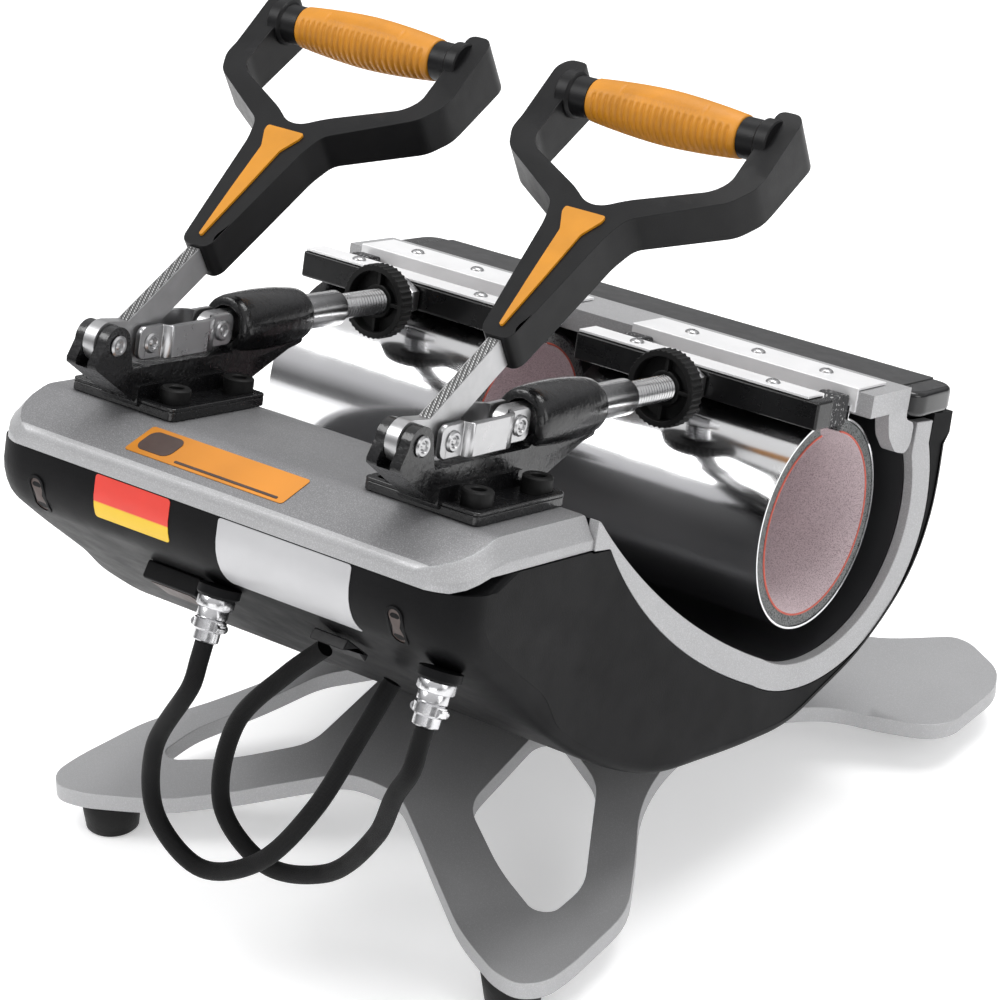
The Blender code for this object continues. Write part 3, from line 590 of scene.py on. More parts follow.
# ---- heater leads
LEAD_D = 8
PLUG_TOP = Vector((0, -233.4, -36.6))
PLUG_DIR = Vector((0, -5, -19)).normalized()
PLUG_L = 19
LEAD_X = (-5, 110)
# points of each lead below its plug, in the row frame, millimetres
LEAD_ROUTES = (
    [(-30, -208, 98), (-31, -207, 64), (-10, -206, 47), (23, -205, 61),
     (48, -197, 92), (60, -180, 124), (66, -166, 145)],
    [(100, -207, 124), (80, -196, 91), (44, -186, 54), (8, -184, 44),
     (-16, -182, 62), (-12, -176, 102), (10, -167, 130), (28, -163, 147)],
)


def tube(path, radius, around):
    """Tube on a path with its own UV: u round it, v along it in diameters."""
    bm = bmesh.new()
    uv = bm.loops.layers.uv.new("UVMap")
    rows, run = [], [0.0]
    tangent = [(path[min(i + 1, len(path) - 1)] - path[max(i - 1, 0)]).normalized()
               for i in range(len(path))]
    side = tangent[0].orthogonal().normalized()
    for i, (p, t) in enumerate(zip(path, tangent)):
        side = (side - t * side.dot(t)).normalized()
        other = t.cross(side)
        rows.append([bm.verts.new(p + (side * cos(2 * pi * k / around)
                                       + other * sin(2 * pi * k / around)) * radius)
                     for k in range(around)])
        if i:
            run.append(run[-1] + (p - path[i - 1]).length / radius / 2)
    for i, (a, b) in enumerate(zip(rows, rows[1:])):
        for k in range(around):
            j = (k + 1) % around
            face = bm.faces.new((a[k], a[j], b[j], b[k]))
            for loop, (u, v) in zip(face.loops, ((k, i), (k + 1, i), (k + 1, i + 1), (k, i + 1))):
                loop[uv].uv = (3.0 * u / around, run[v])
    bm.faces.new(rows[0][::-1])
    bm.faces.new(rows[-1])
    return bm


def knurled(count, depth, lo=-1e9, hi=1e9):
    """Radius rule for a knurled ring between lo and hi."""
    def rule(r, t, a):
        return r - depth * (0.5 - 0.5 * cos(count * a)) if lo < t < hi else r
    return rule


def plug_parts():
    """Chromed connector along +z: ring nut, body and cord clamp with two screws."""
    nut = turned([(0, 0), (7.4, 0), (8.0, 0.6), (8.0, 4.0), (7.4, 4.6), (0, 4.6)], axis="z",
                 knurl=knurled(24, 0.5, 0.3, 4.3))
    body = turned([(0, 4.4), (6.2, 4.4), (6.6, 5.0), (6.6, 8.6), (5.9, 9.2), (6.9, 9.8),
                   (6.9, 13.6), (6.2, 14.2), (5.6, 14.6), (5.6, 18.4), (5.0, 18.9),
                   (4.25, 18.9), (4.25, 15.0), (0, 15.0)], axis="z")
    clamp = [prism(soften([(-7.4, -2.6), (7.4, -2.6), (7.4, 2.6), (-7.4, 2.6)], 1.2), 10.6,
                   13.6, "z")]
    screws = [turned([(0, -3.6), (1.7, -3.6), (1.9, -3.2), (1.9, 3.2), (1.7, 3.6), (0.7, 3.6),
                      (0.7, 3.0), (0, 3.0)], (x, 0, 12.1), "y", 20) for x in (-5.6, 5.6)]
    return gather([nut, body, *clamp, *screws])


def on_plug(bm, x):
    """Turned and moved from the z axis to a plug's place."""
    turn = Vector((0, 0, 1)).rotation_difference(PLUG_DIR).to_matrix().to_4x4()
    bmesh.ops.transform(bm, matrix=Matrix.Translation(PLUG_TOP + Vector((x, 0, 0))) @ turn,
                        verts=bm.verts)
    return bm


for number, x in enumerate(LEAD_X, 1):
    plug = add("connector_%d" % number, on_plug(plug_parts(), x), CHROME,
               ["lead_plug_%d" % number], smooth=35)
    start, *straight = [to_row(PLUG_TOP + Vector((x, 0, 0)) + PLUG_DIR * (PLUG_L + d))
                        for d in (0.3, 9, 18)]
    route = [start, *straight] + [Vector(p) * MM for p in LEAD_ROUTES[number - 1]]
    path = smooth_route(route, 3 * MM)
    lead = add("lead_%d" % number, tube([p / MM for p in path], LEAD_D / 2, 28), BRAID,
               ["heater_lead_%d" % number], machine=False)

# ---- stand
BASE_T, BASE_TOP, BASE_TIP = 8, 60.4, 24
BASE_HALF = [(0, -143), (16, -144), (43, -162), (90, -196), (117, -210), (131, -212),
             (140, -203), (141, -186), (137, -140), (117, -105), (103, -83), (96, -58),
             (94, -30), (98, 5), (106, 35), (119, 58), (161, 74), (168, 84), (168, 124),
             (160, 141), (136, 156), (126, 157), (100, 134), (60, 116), (0, 112)]
LEG_HOLE = [(45, -132), (44, -80), (51, -72), (81, -84), (89, -98), (112, -137),
            (112, -160), (104, -164), (77, -152)]


def mirrored(half):
    return half + [(-x, s) for x, s in reversed(half) if abs(x) > 1e-9]


def base_height(x, y):
    return BASE_TIP + (BASE_TOP - BASE_TIP) * (1 - ease(hypot(x / 150, (y + 25) / 185) - 0.1))


def base_place(drop):
    return lambda x, y: (x, y + AXIS_Y / MM, base_height(x, y) - drop)


holes = [soften([(side * x, y) for x, y in LEG_HOLE][::side], 9) for side in (-1, 1)]
stand = meshed(soften(mirrored(BASE_HALF), 14), holes, 7, base_place(BASE_T), base_place(0))
add("stand", stand, SILVER, ["base_frame"], (3.0, 4, 45), machine=False)
FEET = ((-115, -193), (115, -193), (-130, 112), (130, 112))
for number, (x, y) in enumerate(FEET, 1):
    foot = turned([(0, 0.6), (9, 0.6), (9.6, 0), (11.4, 0), (12.2, 0.8), (13.9, 14.6), (13.4, 15.6),
                   (0, 15.6)], (x, y + AXIS_Y / MM, 0), "z")
    add("foot_%d" % number, foot, RUBBER, ["rubber_foot_%d" % number], machine=False)


# ---- machine body
def soft_ramp(v, soft):
    """max(0, v) with a smooth knee."""
    return 0.5 * (v + sqrt(v * v + soft * soft))


def end_x(y):
    return (END_FRONT + NEAR_FLARE * (soft_ramp(y - FLARE_START, 18) - 0.4) +
            (END_FLARE - NEAR_FLARE) * soft_ramp(y, 10))


def tub_curve(grow, slope_grow, steps_arc=40, steps_slope=24):
    r = TUB_R + grow
    arc = []
    for k in range(steps_arc + 1):
        a = radians(66 + (205 - 66) * k / steps_arc)
        arc.append((r * sin(a), r * cos(a)))
    top = (-159.5 + 0.72 * slope_grow, 22.2 - slope_grow)
    mid = (-103 - 0.55 * slope_grow, -32 - 0.9 * slope_grow)
    return arc + bezier(arc[-1], mid, top, steps_slope)[1:]


def front_weight(y):
    return ease((-165 - y) / 40)


BELLY = curve_points([(-250, 3.4), (-249.6, -10), (-244, -21), (-233, -29.5), (-205, -48),
                      (-171, -69), (-140, -86), (-110, -97), (-89, -101.5), (-57, -101),
                      (-25, -99), (1, -95), (21.5, -84), (49, -65.5), (75, -35), (85, -4),
                      (84.5, 45)], 5.0)
trough = tub_curve(12.8, 13.3)
outline = BELLY + [(trough[0][0] + 0.2, 45)] + trough + [(-161.5, 9.0), (-163, 9.8),
                                                        (-231, 9.8), (-244, 3.4)]
CORNER_R, EDGE_R = 22, 5


def housing_ring(side, inset):
    """Cross-section near one end: front corner and lower edge rounded."""
    back = CORNER_R - sqrt(max(0, CORNER_R ** 2 - max(0, CORNER_R - inset) ** 2))
    lift = EDGE_R - sqrt(max(0, EDGE_R ** 2 - max(0, EDGE_R - inset) ** 2))
    ring = []
    n = len(BELLY)
    for i, (y, z) in enumerate(outline):
        ny = nz = 0
        if i < n:
            a, b = BELLY[max(0, i - 1)], BELLY[min(n - 1, i + 1)]
            d = Vector((b[0] - a[0], b[1] - a[1])).normalized()
            ny, nz = -d[1], d[0]
            if i > n - 4:
                ny = nz = 0
        w = front_weight(y)
        yy = y + ny * lift * (1 - w) + back * w * 0.85
        zz = z + nz * lift * (1 - 0.3 * w)
        ring.append((side * (end_x(y) - inset), yy, zz))
    return ring


steps = (0, 0.3, 1, 2, 3.5, 5, 8, 12, 17, 22, 45)
rings = [housing_ring(-1, e) for e in steps] + [housing_ring(1, e) for e in steps[::-1]]
bm = loft(rings, caps=False)
for side in (-1, 1):
    ring = housing_ring(side, 0)
    flat = [(y, z) for _, y, z in ring]

    def place(y, z, side=side):
        return (side * end_x(y), y, z)
    cap = meshed(flat, [], 9, lambda y, z: (side * (end_x(y) - 5), y, z), place)
    inner = [f for f in cap.faces if any(abs(abs(v.co.x) - end_x(v.co.y)) > 0.01
                                         for v in f.verts)]
    bmesh.ops.delete(cap, geom=inner, context="FACES")
    bm = gather([bm, cap])
bmesh.ops.remove_doubles(bm, verts=bm.verts, dist=0.02)
add("housing", bm, PLASTIC, ["lower_housing"], smooth=50)

# Deck: flat top, sloping front, rounded corners and a chamfer round the ends.
DECK_HALF = 126
DECK_LINE = [(-161.2, 23.0), (-161.5, 23.4), (-162.4, 23.8), (-190, 23.8), (-219, 23.8),
             (-222, 23.55), (-225, 22.6), (-236, 18.1), (-246, 14.0), (-248.5, 12.9),
             (-250.0, 11.7), (-250.9, 9.8), (-251.0, 7.5)]


def deck_edge(y):
    over = max(0.0, -228 - y)
    return DECK_HALF - (24 - sqrt(max(0.0, 24 ** 2 - over ** 2)))


def deck_ring(y, z):
    """Section across the deck: flat top, steep chamfer, short upright skirt."""
    edge = deck_edge(y)
    low = 10.2 - 6.4 * unit((-231 - y) / 14)
    top = []
    for e, part in ((0, 0.30), (0.25, 0.35), (0.9, 0.41), (2.2, 0.56), (4.0, 0.78),
                    (5.2, 0.925), (5.9, 0.98), (7.0, 1.0), (20, 1), (50, 1)):
        top.append((edge - e, y, low + (z - low) * part))
    right = top + [(0, y, z)]
    left = [(-x, py, pz) for x, py, pz in reversed(top)]
    bottom = [(-edge, y, low), (edge, y, low)]
    return right + left + bottom


deck_rows = []
for (y0, z0), (y1, z1) in zip(DECK_LINE, DECK_LINE[1:]):
    parts = max(1, int(abs(y1 - y0) / 4))
    deck_rows += [deck_ring(y0 + (y1 - y0) * k / parts, z0 + (z1 - z0) * k / parts)
                  for k in range(parts)]
deck_rows.append(deck_ring(*DECK_LINE[-1]))
deck_ob = add("deck", loft(deck_rows), DECK_PAINTED_SHADE, ["deck_cover"], smooth=24)
# The chamfered ends and front skirt take the lighter trim paint; the flat top and sloping front
# keep the darker copy, which is painted shade
deck_ob.data.materials.append(TRIM)
inverse = MACHINE.inverted()
for poly in deck_ob.data.polygons:
    c = (inverse @ poly.center) / MM
    if abs(c.x) > deck_edge(c.y) - 6.2 or c.y < -247.5:
        poly.material_index = 1


TOP_REAR = 42
inner_line = tub_curve(0, 0)
inner_line = [(inner_line[0][0], TOP_REAR)] + inner_line
outer_line = tub_curve(12.5, 13)
outer_line = [(outer_line[0][0], TOP_REAR)] + outer_line
deck_end = ((-161.0, 22.9), (-161.0, 9.8))
for label, side in ENDS:
    rows = []
    for a, b in zip(inner_line + [deck_end[0]], outer_line + [deck_end[1]]):
        rows.append([(side * (end_x(a[0]) - 5), a[0], a[1]), (side * end_x(a[0]), a[0], a[1]),
                     (side * end_x(b[0]), b[0], b[1]), (side * (end_x(b[0]) - 5), b[0], b[1])])
    add("end_band_" + label, loft(rows), TRIM, ["end_trim_" + label], (1.3, 3, 40))
back_line = tub_curve(1.5, 1.5)
back_line = [(back_line[0][0], TOP_REAR)] + back_line
rows = []
for a, b in zip(inner_line, back_line):
    xa, xb = end_x(a[0]) - 5.2, end_x(b[0]) - 5.2
    rows.append([(-xa, *a), (xa, *a), (xb, *b), (-xb, *b)])
add("liner", loft(rows), LINER, ["tub_liner"], smooth=30)

# Cap, rail and the user's side.
RAIL_HALF, CAP_HALF = 148, 152
cap = prism(rounded(-CAP_HALF, CAP_HALF, 48, 86, 10), 45.3, 57, "z")
add("cap", cap, GLOSS, ["top_cap"], (2.5, 3))
pad = prism(rounded(-CAP_HALF + 13, CAP_HALF - 13, 48.4, 85.6, 1), 56.0, 57.4, "z")
add("cap_inset", pad, CAP_TOP, edge=(0.25, 2))
rail = [box(-RAIL_HALF, RAIL_HALF, 14, 47.6, 49, 59.4)]
LUG = soften([(30, 50), (34, 38), (42, 30), (52, 28), (56, 32), (56, 42), (47.6, 44.6),
              (47.6, 50)], 3)
for side in (-1, 1):
    a, b = sorted((side * 141, side * RAIL_HALF))
    rail.append(prism(LUG, a, b))
add("rail", joined(rail), TRIM, ["fixed_rail"], (0.8, 2, 40))
wall = prism(rounded(-138, 138, -30, 38, 8), 85.6, 88, "y")
add("user_wall", wall, PLASTIC, ["front_wall"], (0.6, 2))
for label, side in ENDS:
    x = side * 72
    panel = prism(rounded(x - 42, x + 42, -20, 30, 5), 88.3, 90.3, "y")
    add("panel_" + label, panel, PLASTIC_FINE, ["control_panel_" + label], (0.5, 2),
        slot="gloss_black")
    window = prism(rounded(x - 26, x + 26, 6, 25, 2), 90.2, 90.7, "y")
    add("window_" + label, window, SCREEN, edge=(0.15, 2))
    keys = [turned([(0, 90.2), (4.6, 90.2), (4.6, 90.8), (4.0, 91.3), (0, 91.3)],
                   (x - 27 + 18 * k, 0, -9), "y", 28) for k in range(4)]
    add("keys_" + label, gather(keys), RUBBER, smooth=30)

BOARD_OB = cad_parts["control_board"]
BOARD_OB.data.materials.clear()
BOARD_OB.data.materials.append(BOARD)


# ---- stations
def cap_screw(x, y, z, r=5.0, high=6.0, key=2.4):
    """Socket head screw standing on z."""
    return turned([(0, z - 0.3), (r, z - 0.3), (r, z + high - 0.7), (r - 0.7, z + high),
                   (key + 0.5, z + high), (key, z + high - 0.5), (key, z + high - 3.4),
                   (0, z + high - 3.4)], (x, y, 0), "z", 28)


def button_screw(x, y, z, r=3.4, high=1.7):
    dome = [(r * cos(radians(a)), z + high * sin(radians(a))) for a in range(0, 61, 15)]
    return turned([(0, z - 0.2), (r, z - 0.2)] + dome +
                  [(1.25, z + high * 0.9), (1.1, z + high * 0.35), (0, z + high * 0.35)],
                  (x, y, 0), "z", 24)


def handle_point(x, s, n):
    """Point in the handle's own plane: s towards the grip, n out of the plane."""
    return (x, GRIP_Y + s * cos(SLOPE) - n * sin(SLOPE), GRIP_Z + s * sin(SLOPE) + n * cos(SLOPE))


def fork_low(s):
    return -17 - 8 * unit((-s - 62) / 72)


def fork_high(s):
    return 2 + 5 * ease((24 + s) / 32) - 2 * unit((-s - 42) / 20) - 8 * unit((-s - 62) / 72)


FORK_HALF = [(0, -134), (5.5, -134), (8, -131), (11.5, -104), (14.5, -80), (15.4, -73),
             (19, -62), (55.4, -40.4), (61, -30), (61.5, -24), (61.5, 8), (58, 13), (48, 13),
             (48.5, -30), (44, -37), (13, -52.5), (5, -58), (0, -59)]
INLAY_HALF = [(0, -129), (0.9, -128.5), (3.4, -100), (5.2, -76), (10, -67), (10, -64),
              (0, -64)]
fork_line = soften(mirrored(FORK_HALF), 4)
inlay_line = soften(mirrored(INLAY_HALF), 1.2)


def off_fork(level, out=0):
    return lambda x, s: handle_point(x, s, level(s) + out)


def grip_core():
    """Bosses on the arms, collars beside the sleeve and the core inside it."""
    half = [(0, 53), (9.6, 53), (10.2, 52.4), (10.2, 47.4), (9.6, 46.6), (8.8, 46.2),
            (8.8, 38.0), (8.4, 37.75), (7.5, 37.75)]
    return turned(half + [(r, -t) for r, t in reversed(half)], (0, GRIP_Y, GRIP_Z), "x", 56)


def sleeve():
    """Barrel-shaped grip with ribs on its lower side and a knurled pad on top."""
    half, steps_t, around = 37.6, 200, 84
    pad_a, rib_a = radians(129), radians(199)
    ts = [-half + 2 * half * k / steps_t for k in range(steps_t + 1)]
    profile = [(7.9, -half)]
    profile += [(9.3 + 2.5 * (1 - abs(t / half) ** 1.7)
                 - 0.5 * max(0, 1 - (half - abs(t)) / 0.8) ** 2, t) for t in ts]
    profile.append((7.9, half))

    def rule(r, t, a):
        if r < 8.5:
            return r
        turn = (a - rib_a + pi) % (2 * pi) - pi
        face = unit((radians(50) - abs(turn)) / radians(7))
        ribs = 0.75 * (0.5 + 0.5 * cos(2 * pi * t / 3.35)) ** 2 * face if abs(t) < 35.5 else 0
        turn = (a - pad_a + pi) % (2 * pi) - pi
        u, v = t / 21, turn / radians(17)
        inside = u ** 8 + v ** 8
        rim = -0.3 if 0.75 < inside < 1.25 else 0
        pad = 0.3 * cos(2 * pi * t / 1.7) * cos(turn * 46) if inside <= 0.75 else 0
        return r - ribs + rim + pad
    return turned(profile, (0, GRIP_Y, GRIP_Z), "x", around, knurl=rule)


def flat_bar():
    eyes = prism(capsule(PIVOT, LINK, 9, 8.5), -3, 3)
    ring = [handle_point(0, s, n) for s, n in ((-191, -22.8), (-134.3, -22.8),
                                               (-134.3, -9.6), (-191, -9.6))]
    whole = joined([eyes, prism([(y, z) for _, y, z in ring], -3, 3)])
    return cut(whole, [turned([(0, -9), (4.2, -9), (4.2, 9), (0, 9)], (0, *p), "x", 32)
                       for p in (PIVOT, LINK)])


def lever_edge():
    """Serrated strip on the lever's narrow upper edge."""
    ring = [handle_point(0, s, n) for s, n in ((-189, -9.7), (-134.6, -9.7),
                                               (-134.6, -9.35), (-189, -9.35))]
    return prism([(y, z) for _, y, z in ring], -2.5, 2.5)


def casting():
    """Clamp base: web, guide barrel and the handle's clevis."""
    rib = [(-219, 25), (-150, 27), (-121, 40), (-112, 42), (-112, 45), (-158, 44),
           (-160, 42.6), (-222, 42.6), (-222, 30)]
    parts = [prism(soften(rib, 1.2), -7.6, 7.6)]
    parts.append(turned([(0, -158), (11.4, -158), (12.3, -157.2), (13.0, -154), (13.5, -146),
                         (13.7, -137), (13.4, -126), (12.6, -117), (12.0, -112),
                         (11.4, -110.3), (10.4, -110), (0, -110)], (0, 0, ROD_Z), "y", 56))
    ear = [(PIVOT[0] - 7.9 * cos(radians(w)), PIVOT[1] + 7.9 * sin(radians(w)))
           for w in range(0, 181, 12)]
    ear += [(-225, 42.6), (-214, 42.6), (-214, 27), (-220.4, 27), (-247.6, 44.4),
            (-247.8, 46.5)]
    parts.append(prism(ear, -8.5, 8.5))
    parts.append(prism(soften([(-222, 26), (-160, 26), (-164, 35), (-222, 35)], 2), -10, 10))
    whole = joined(parts)
    tools = [turned([(0, -200), (8.4, -200), (8.4, -90), (0, -90)], (0, 0, ROD_Z), "y", 40),
             turned([(0, -20), (4.0, -20), (4.0, 20), (0, 20)], (0, *PIVOT), "x", 32),
             prism([(-260, 44), (-223, 44), (-223, 42.9), (-205, 42.9), (-205, 70),
                    (-260, 70)], -3.3, 3.3)]
    return cut(whole, tools)


def base_plate():
    """Foot plate with a raised rim."""
    border = rounded(-28.9, 28.9, -220.4, -159.5, 3)
    plate = prism(border, 24.1, 28, "z")
    rim = prism(border, 27.9, 29.6, "z",
                [rounded(-25.4, 25.4, -216.9, -163, 2.5)[::-1]])
    return gather([plate, rim])


def pin(at, reach, r=4.5, tall=1.1):
    """Riveted pin: a raised ring round a hollow with a dome in it, at each end."""
    h = reach + 0.3
    side = [(0, h + tall - 0.25), (1.0, h + tall - 0.35), (1.7, h + tall - 0.9),
            (2.3, h + tall - 0.9), (2.7, h + tall), (3.7, h + tall), (r, h + tall - 0.7),
            (r, h), (3.9, h)]
    profile = [(q, -t) for q, t in side] + [(q, t) for q, t in side[::-1]]
    return turned(profile, (0, *at), "x", 40)


def link_plate(side):
    """Strap with a tab at each pin and a loop that stands out between them."""
    def bow(y):
        rise = unit((y - LINK[0] - 6.6) / 2.6)
        fall = unit((PUSH[0] - 6.4 - y) / 7.0)
        return 4.0 * sqrt(max(0.0, 1 - (1 - rise) ** 2)) * sqrt(max(0.0, 1 - (1 - fall) ** 2))
    rings = []
    first, last, count = LINK[0] - 7.6, PUSH[0] + 7.4, 150
    for k in range(count + 1):
        y = first + (last - first) * k / count
        near = max(0.0, LINK[0] - 3.8 - y, y - PUSH[0] - 3.6)
        high = 3.4 + sqrt(max(0.02, 3.8 ** 2 - near * near))
        mid = (y - LINK[0]) / (PUSH[0] - LINK[0])
        zc = LINK[1] + (PUSH[1] - LINK[1]) * mid
        x0, x1 = 4.4 + bow(y), 6.8 + bow(y)
        rings.append([(side * x0, y, zc - high), (side * (x1 - 0.4), y, zc - high),
                      (side * x1, y, zc - high + 0.4), (side * x1, y, zc + high - 0.4),
                      (side * (x1 - 0.4), y, zc + high), (side * x0, y, zc + high)])
    return loft(rings)


def stud(side):
    s0 = side * 3.3
    inner, s1 = side * 6.6, side * 8.2
    return turned([(0, s0), (4, s0), (4, inner), (4.5, inner), (4.5, s1 - side * 0.6),
                   (3.7, s1), (2.7, s1), (2.3, s1 - side * 0.9), (1.7, s1 - side * 0.9),
                   (1.0, s1 - side * 0.35), (0, s1 - side * 0.25)], (0, *PUSH), "x", 36)


def plunger_rod():
    profile = [(0, -149), (7.2, -149), (8.0, -148.2), (8.0, -82.0), (7.2, -80.4),
               (6.4, -80), (5.0, -80)]
    y, pitch = -79.2, 2.0
    while y < -29:
        profile += [(4.9, y), (5.8, y + pitch * 0.42), (5.8, y + pitch * 0.58)]
        y += pitch
    profile += [(4.9, -27.6), (0, -27.6)]
    return turned(profile, (0, 0, ROD_Z), "y", 40)


def hex_nut(y0, y1, across):
    r = across / sqrt(3)
    rows = []
    for y, k in ((y0, 0.93), (y0 + 0.8, 1.0), (y1 - 0.8, 1.0), (y1, 0.93)):
        rows.append([(r * k * sin(pi / 3 * i), y, r * k * cos(pi / 3 * i)) for i in range(6)])
    bm = loft(rows)
    move(bm, (0, 0, ROD_Z))
    return bm


WHEEL_R, SPOKES = 17.5, 4


def wheel():
    """Hand wheel: knurled rim, thin web, hub and four spokes."""
    knurl, steps_w = knurled(40, 0.9), 120
    outer_ring = [(knurl(WHEEL_R, 0, a) * cos(a), knurl(WHEEL_R, 0, a) * sin(a))
                  for a in (2 * pi * i / steps_w for i in range(steps_w))]
    rim = prism(outer_ring, -53.6, -45.6, "y", [circle(0, 0, 14.2, 64)[::-1]])
    web = turned([(6.0, -47.6), (14.4, -47.6), (14.4, -46.0), (6.0, -46.0)], (0, 0, 0), "y", 64)
    hub = turned([(6.0, -50.6), (7.6, -50.6), (8.1, -50.0), (8.1, -45.4), (7.6, -44.8),
                  (6.0, -44.8)], (0, 0, 0), "y", 40)
    spokes = []
    for k in range(SPOKES):
        spoke = prism([(7.8, -0.9), (14.4, -0.9), (14.4, 0.9), (7.8, 0.9)], -51.0, -47.2, "y")
        bmesh.ops.rotate(spoke, verts=spoke.verts,
                         matrix=Matrix.Rotation(2 * pi / SPOKES * k, 3, "Y"))
        spokes.append(spoke)
    bm = gather([rim, web, hub, *spokes])
    move(bm, (0, 0, ROD_Z))
    return bm


ARC_STEPS = 96
LIP = 15.0                                 # degrees from the top to each lip
SHEET_OUT, SHEET_IN, FOAM_OUT, FOAM_IN, BORE_R = 48.5, 47.6, 47.5, 41.9, 41.5
SHEET_HALF, FOAM_HALF, CLOTH_HALF = 58, 57.4, 57.5


def arc(r, gap):
    """Nearly full circle open at the top, from +z towards +y."""
    turns = [radians(gap + (360 - gap - gap) * k / ARC_STEPS) for k in range(ARC_STEPS + 1)]
    return [(r * sin(a), r * cos(a)) for a in turns]


def band_sheet(inside, outside, half):
    """Sheet between two matching lines, finely divided round its bend."""
    return loft([[(-half, *a), (half, *a), (half, *b), (-half, *b)]
                 for a, b in zip(inside, outside)])


shell_out = [(12.9, 52.5), (12.9, 48.9)] + arc(SHEET_OUT, LIP) + \
    [(-12.9, 48.9), (-12.9, 52.5)]
shell_in = [(12.2, 52.5), (12.2, 48.3)] + arc(SHEET_IN, LIP) + \
    [(-12.2, 48.3), (-12.2, 52.5)]
foam_out = arc(FOAM_OUT, LIP - 2)
foam_in = arc(FOAM_IN, LIP - 4)
cloth_out = arc(FOAM_IN, LIP - 4.5)
cloth_in = arc(BORE_R, LIP - 4.5)


def strip(side, y0, y1, z0, lip_z, x0, x1):
    """Flange plate with a folded lip."""
    sec = [(y0, z0), (y0, z0 + 1.2), (y1 + side * 0.3, z0 + 1.2), (y1, z0 + 0.9), (y1, lip_z),
           (y1 + side * 1.2, lip_z), (y1 + side * 1.2, z0)]
    return prism(sec, x0, x1)


def rim_ring(xe):
    """Fine round bead along the inner edge of the heater band."""
    rows = []
    for k in range(ARC_STEPS + 1):
        a = radians(LIP - 4 + (360 - 2 * LIP + 8) * k / ARC_STEPS)
        rows.append([(xe + 0.5 * cos(w), (42.0 + 0.45 * sin(w)) * sin(a),
                      (42.0 + 0.45 * sin(w)) * cos(a))
                     for w in (2 * pi * j / 8 for j in range(8))])
    return loft(rows)


for number, sx in ((1, -STATION_X), (2, STATION_X)):
    n = "_%d" % number
    heater, handle, link = "heater_front" + n, "handle" + n, "link" + n
    push, turn = "plunger_rod" + n, "wheel" + n

    def put(name, bm, mat, stands_for=(), edge=None, **rest):
        return add(name + n, bm, mat, [one + n for one in stands_for], edge, (sx, 0, 0), **rest)

    # Heater band: one bent strip, baked in place; the real band's front end swings open.
    for name, bm, mat, nodes, edge, smooth in (
            ("heater_sheet", band_sheet(shell_in, shell_out, SHEET_HALF), MIRROR,
             ["heater_shell_rear", "heater_shell_front"], None, 60),
            ("heater_foam", band_sheet(foam_in, foam_out, FOAM_HALF), FOAM,
             ["heater_pad_rear", "heater_pad_front"], (0.4, 2, 60), 60),
            ("heater_lining", band_sheet(cloth_in, cloth_out, CLOTH_HALF), CLOTH, [], None, 60),
            ("heater_rim_a", rim_ring(-57.6), RED, [], None, 38),
            ("heater_rim_b", rim_ring(57.6), RED, [], None, 38)):
        ob = put(name, bm, mat, nodes, edge, smooth=smooth, ride=False)
        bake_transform(ob)
    for label, x0, x1 in (("a", -57.5, -47), ("b", 47, 57.5)):
        block = prism(soften([(-4.5, 44.2), (11.6, 44.2), (11.6, 57.5), (3, 58.5), (-4.5, 55)],
                             1.5), x0, x1)
        put("foam_block_" + label, block, FOAM_DARK, edge=(0.5, 2))

    # Flanges, with their screws, and the bars that they are clamped to.
    put("flange", strip(1, 38, 12.9, 59.8, 50, -60.3, 60.3), STRIP, ["fixed_strip"], (0.3, 2))
    put("flange_screws", gather([button_screw(x, 26, 61) for x in (-36, 0, 36)]), STEEL,
        smooth=30)
    put("clamp_bar", box(-64.2, 64.2, -27, -14, 47.5, 60), BAR, ["moving_bar"], (1.2, 3),
        body=push)
    put("clamp_strip", strip(-1, -26.6, -13.0, 60.3, 50, -63.2, 58.2), STRIP, ["moving_strip"],
        (0.3, 2), body=push)
    put("clamp_screws", gather([button_screw(x, -20, 61.5) for x in (-36, 36)]), STEEL,
        body=push, smooth=30)

    # Toggle clamp.
    put("clamp_casting", casting(), CAST, ["clamp_base"], (0.9, 2, 50))
    put("clamp_plate", base_plate(), CAST, edge=(0.5, 2, 50))
    put("clamp_bolts", gather([cap_screw(x, y, 28, 6.6, 7.4, 3.2) for x in (-18.8, 18.8)
                               for y in (-208, -167)]), RUBBER, slot="black_casting", smooth=35)
    put("handle_pin", pin(PIVOT, 8.6), STEEL, ["pivot_pin"], smooth=30)
    put("plunger_tongue", prism(capsule(PUSH, (-140, ROD_Z), 6.6, 6.6), -3, 3), STEEL, body=push,
        edge=(0.4, 2))
    put("plunger_shaft", plunger_rod(), ROD, ["plunger"], body=push, smooth=35)
    put("lock_nut", hex_nut(-34.6, -28.2, 15.5), STEEL, body=push, edge=(0.25, 2))
    put("hand_wheel", wheel(), RUBBER, ["adjuster_wheel"], (0.6, 2, 35), body=turn)
    for label, side in (("a", -1), ("b", 1)):
        put("side_link_" + label, link_plate(side), STEEL, ["link_plate_" + label],
            (0.35, 2, 45), body=link)
        put("link_stud_" + label, stud(side), STEEL, body=link, smooth=30)
    put("handle_link_pin", pin(LINK, 6.6), STEEL, ["link_pin"], body=handle, smooth=30)

    # Handle.
    put("lever", flat_bar(), GALV, ["handle_bar"], (0.5, 2), body=handle)
    put("lever_edge", lever_edge(), SERRATED, body=handle, edge=(0.15, 1))
    put("fork", meshed(fork_line, [], 5, off_fork(fork_low), off_fork(fork_high)), PLASTIC_FINE,
        ["handle_fork"], (1.8, 3, 45), body=handle)
    put("inlay", meshed(inlay_line, [], 4, off_fork(fork_high, -0.2), off_fork(fork_high, 1.0)),
        INLAY, ["handle_inlay"], (0.35, 2, 45), body=handle)
    put("sleeve", sleeve(), ORANGE, ["grip_sleeve"], body=handle, smooth=70)
    put("grip_collars", grip_core(), PLASTIC_FINE, body=handle, smooth=35)


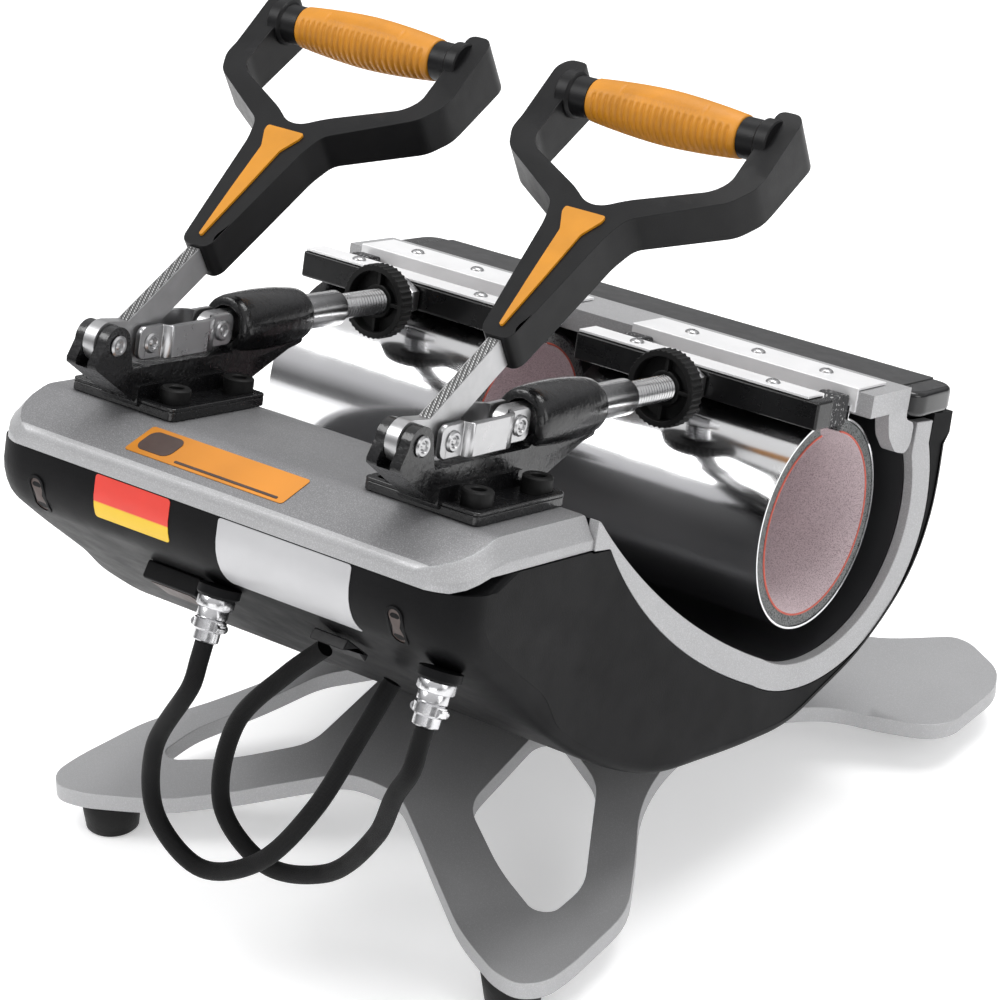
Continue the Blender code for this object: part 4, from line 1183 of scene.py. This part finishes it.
# ---- stickers, inlet and rocker
def dense(points, pitch):
    """Closed outline with extra points along its long sides."""
    out = []
    for a, b in zip(points, points[1:] + points[:1]):
        n = max(1, int(hypot(b[0] - a[0], b[1] - a[1]) / pitch))
        out += [(a[0] + (b[0] - a[0]) * i / n, a[1] + (b[1] - a[1]) * i / n)
                for i in range(n)]
    return out


SLOPE_Y, SLOPE_Z, SLOPE_RISE = -225, 22.6, 0.4095


def deck_sticker(name, x0, x1, y0, y1, mat, lift=0.15, r=1.5):
    """Sheet on the sloping front of the deck."""
    def place(up):
        return lambda x, y: (x, y, SLOPE_Z + (y - SLOPE_Y) * SLOPE_RISE + lift + up)
    add(name, meshed(rounded(x0, x1, y0, y1, r), [], 12, place(0), place(0.25)), mat,
        slot="orange_plastic")


deck_sticker("deck_sticker", -55, 30, -244, -226.5, STICKER)
deck_sticker("deck_sticker_mark", -52, -34, -241.5, -229, DARK_INK, 0.42, 4)
deck_sticker("deck_sticker_line", -29, 26, -242.6, -241.4, DARK_INK, 0.42, 0.4)


def fascia_y(z):
    """Front face of the control box at a height."""
    for (y0, z0), (y1, z1) in zip(BELLY, BELLY[1:]):
        if z1 <= z <= z0:
            return y0 + (y1 - y0) * (z0 - z) / (z0 - z1)
    return BELLY[0][0]


def fascia_sheet(name, x0, x1, z0, z1, mat):
    def place(out):
        return lambda x, z: (x, fascia_y(z) - out, z)
    border = dense(rounded(x0, x1, z0, z1, 1.5), 1.5)
    add(name, meshed(border, [], 3, place(0.02), place(0.3)), mat)


TWO_TONE = two_tone("red_yellow_sticker", (0.66, 0.04, 0.025), (0.72, 0.46, 0.01),
                    AXIS_Z + 57.9 * MM - 8.6 * MM, 0.0004)
fascia_sheet("sticker_red", -63, -22, -16, 3, TWO_TONE)
fascia_sheet("rating_plate", 4, 73, -27.5, 3, PAPER)
for number, x in enumerate((-96, 96), 1):
    def place(out, x=x):
        return lambda u, z: (u, fascia_y(z) - out, z)
    frame_line = rounded(x - 4.4, x + 4.4, -25, -7, 4.2)
    hole_line = rounded(x - 3.0, x + 3.0, -23.6, -8.4, 2.9)
    add("slot_frame_%d" % number, meshed(frame_line, [hole_line], 3, place(0.02), place(0.8)),
        PLASTIC, (), (0.3, 2, 50))
    add("slot_back_%d" % number, meshed(hole_line, [], 3, place(0.02), place(0.12)), DARK_INK)

UNDER = Vector((0, -230, -32))
UNDER_U = Vector((0, 59, -37)).normalized()
UNDER_V = Vector((0, UNDER_U.z, -UNDER_U.y))


def under_prism(x0, x1, section):
    pts = [UNDER + UNDER_U * u + UNDER_V * v for u, v in section]
    return prism([(p.y, p.z) for p in pts], x0, x1)


add("inlet", under_prism(-49, -19, [(3, 0.0), (25, 0.0), (24, 8), (4, 8)]), PLASTIC,
    ["power_inlet"], (1.2, 3))
add("inlet_mouth", under_prism(-45, -23, [(7, 7.9), (21, 7.9), (21, 8.25), (7, 8.25)]), DARK_INK)
add("rocker_key", under_prism(42, 60, [(4, 2.4), (22, 2.4), (22, 5.5), (13, 3.6), (4, 7.4)]),
    PLASTIC_FINE, ["power_rocker"], (0.6, 3), body="rocker")
for number, x in enumerate(LEAD_X, 1):
    socket = turned([(0, -4.5), (9.2, -4.5), (9.2, -1.0), (8.4, -0.2), (0, -0.2)], axis="z")
    add("socket_%d" % number, on_plug(socket, x), PLASTIC, smooth=35)

# ---- floor
floor_bm = bmesh.new()
bmesh.ops.create_grid(floor_bm, x_segments=1, y_segments=1, size=4)
floor = new_object("floor", bm_mesh(floor_bm, "floor", orient=False))
floor.location.z = -0.0002
floor_paper = surface("floor_paper", (0.93, 0.93, 0.93), (0.55, 0.65), 0.0, (2, 0.01),
                      (300, 0.03, 0.0001))
fill(floor_paper.node_tree, floor_paper.node_tree.nodes["Principled BSDF"],
     {"Emission Color": (1, 1, 1), "Emission Strength": 0.3})
floor.data.materials.append(floor_paper)
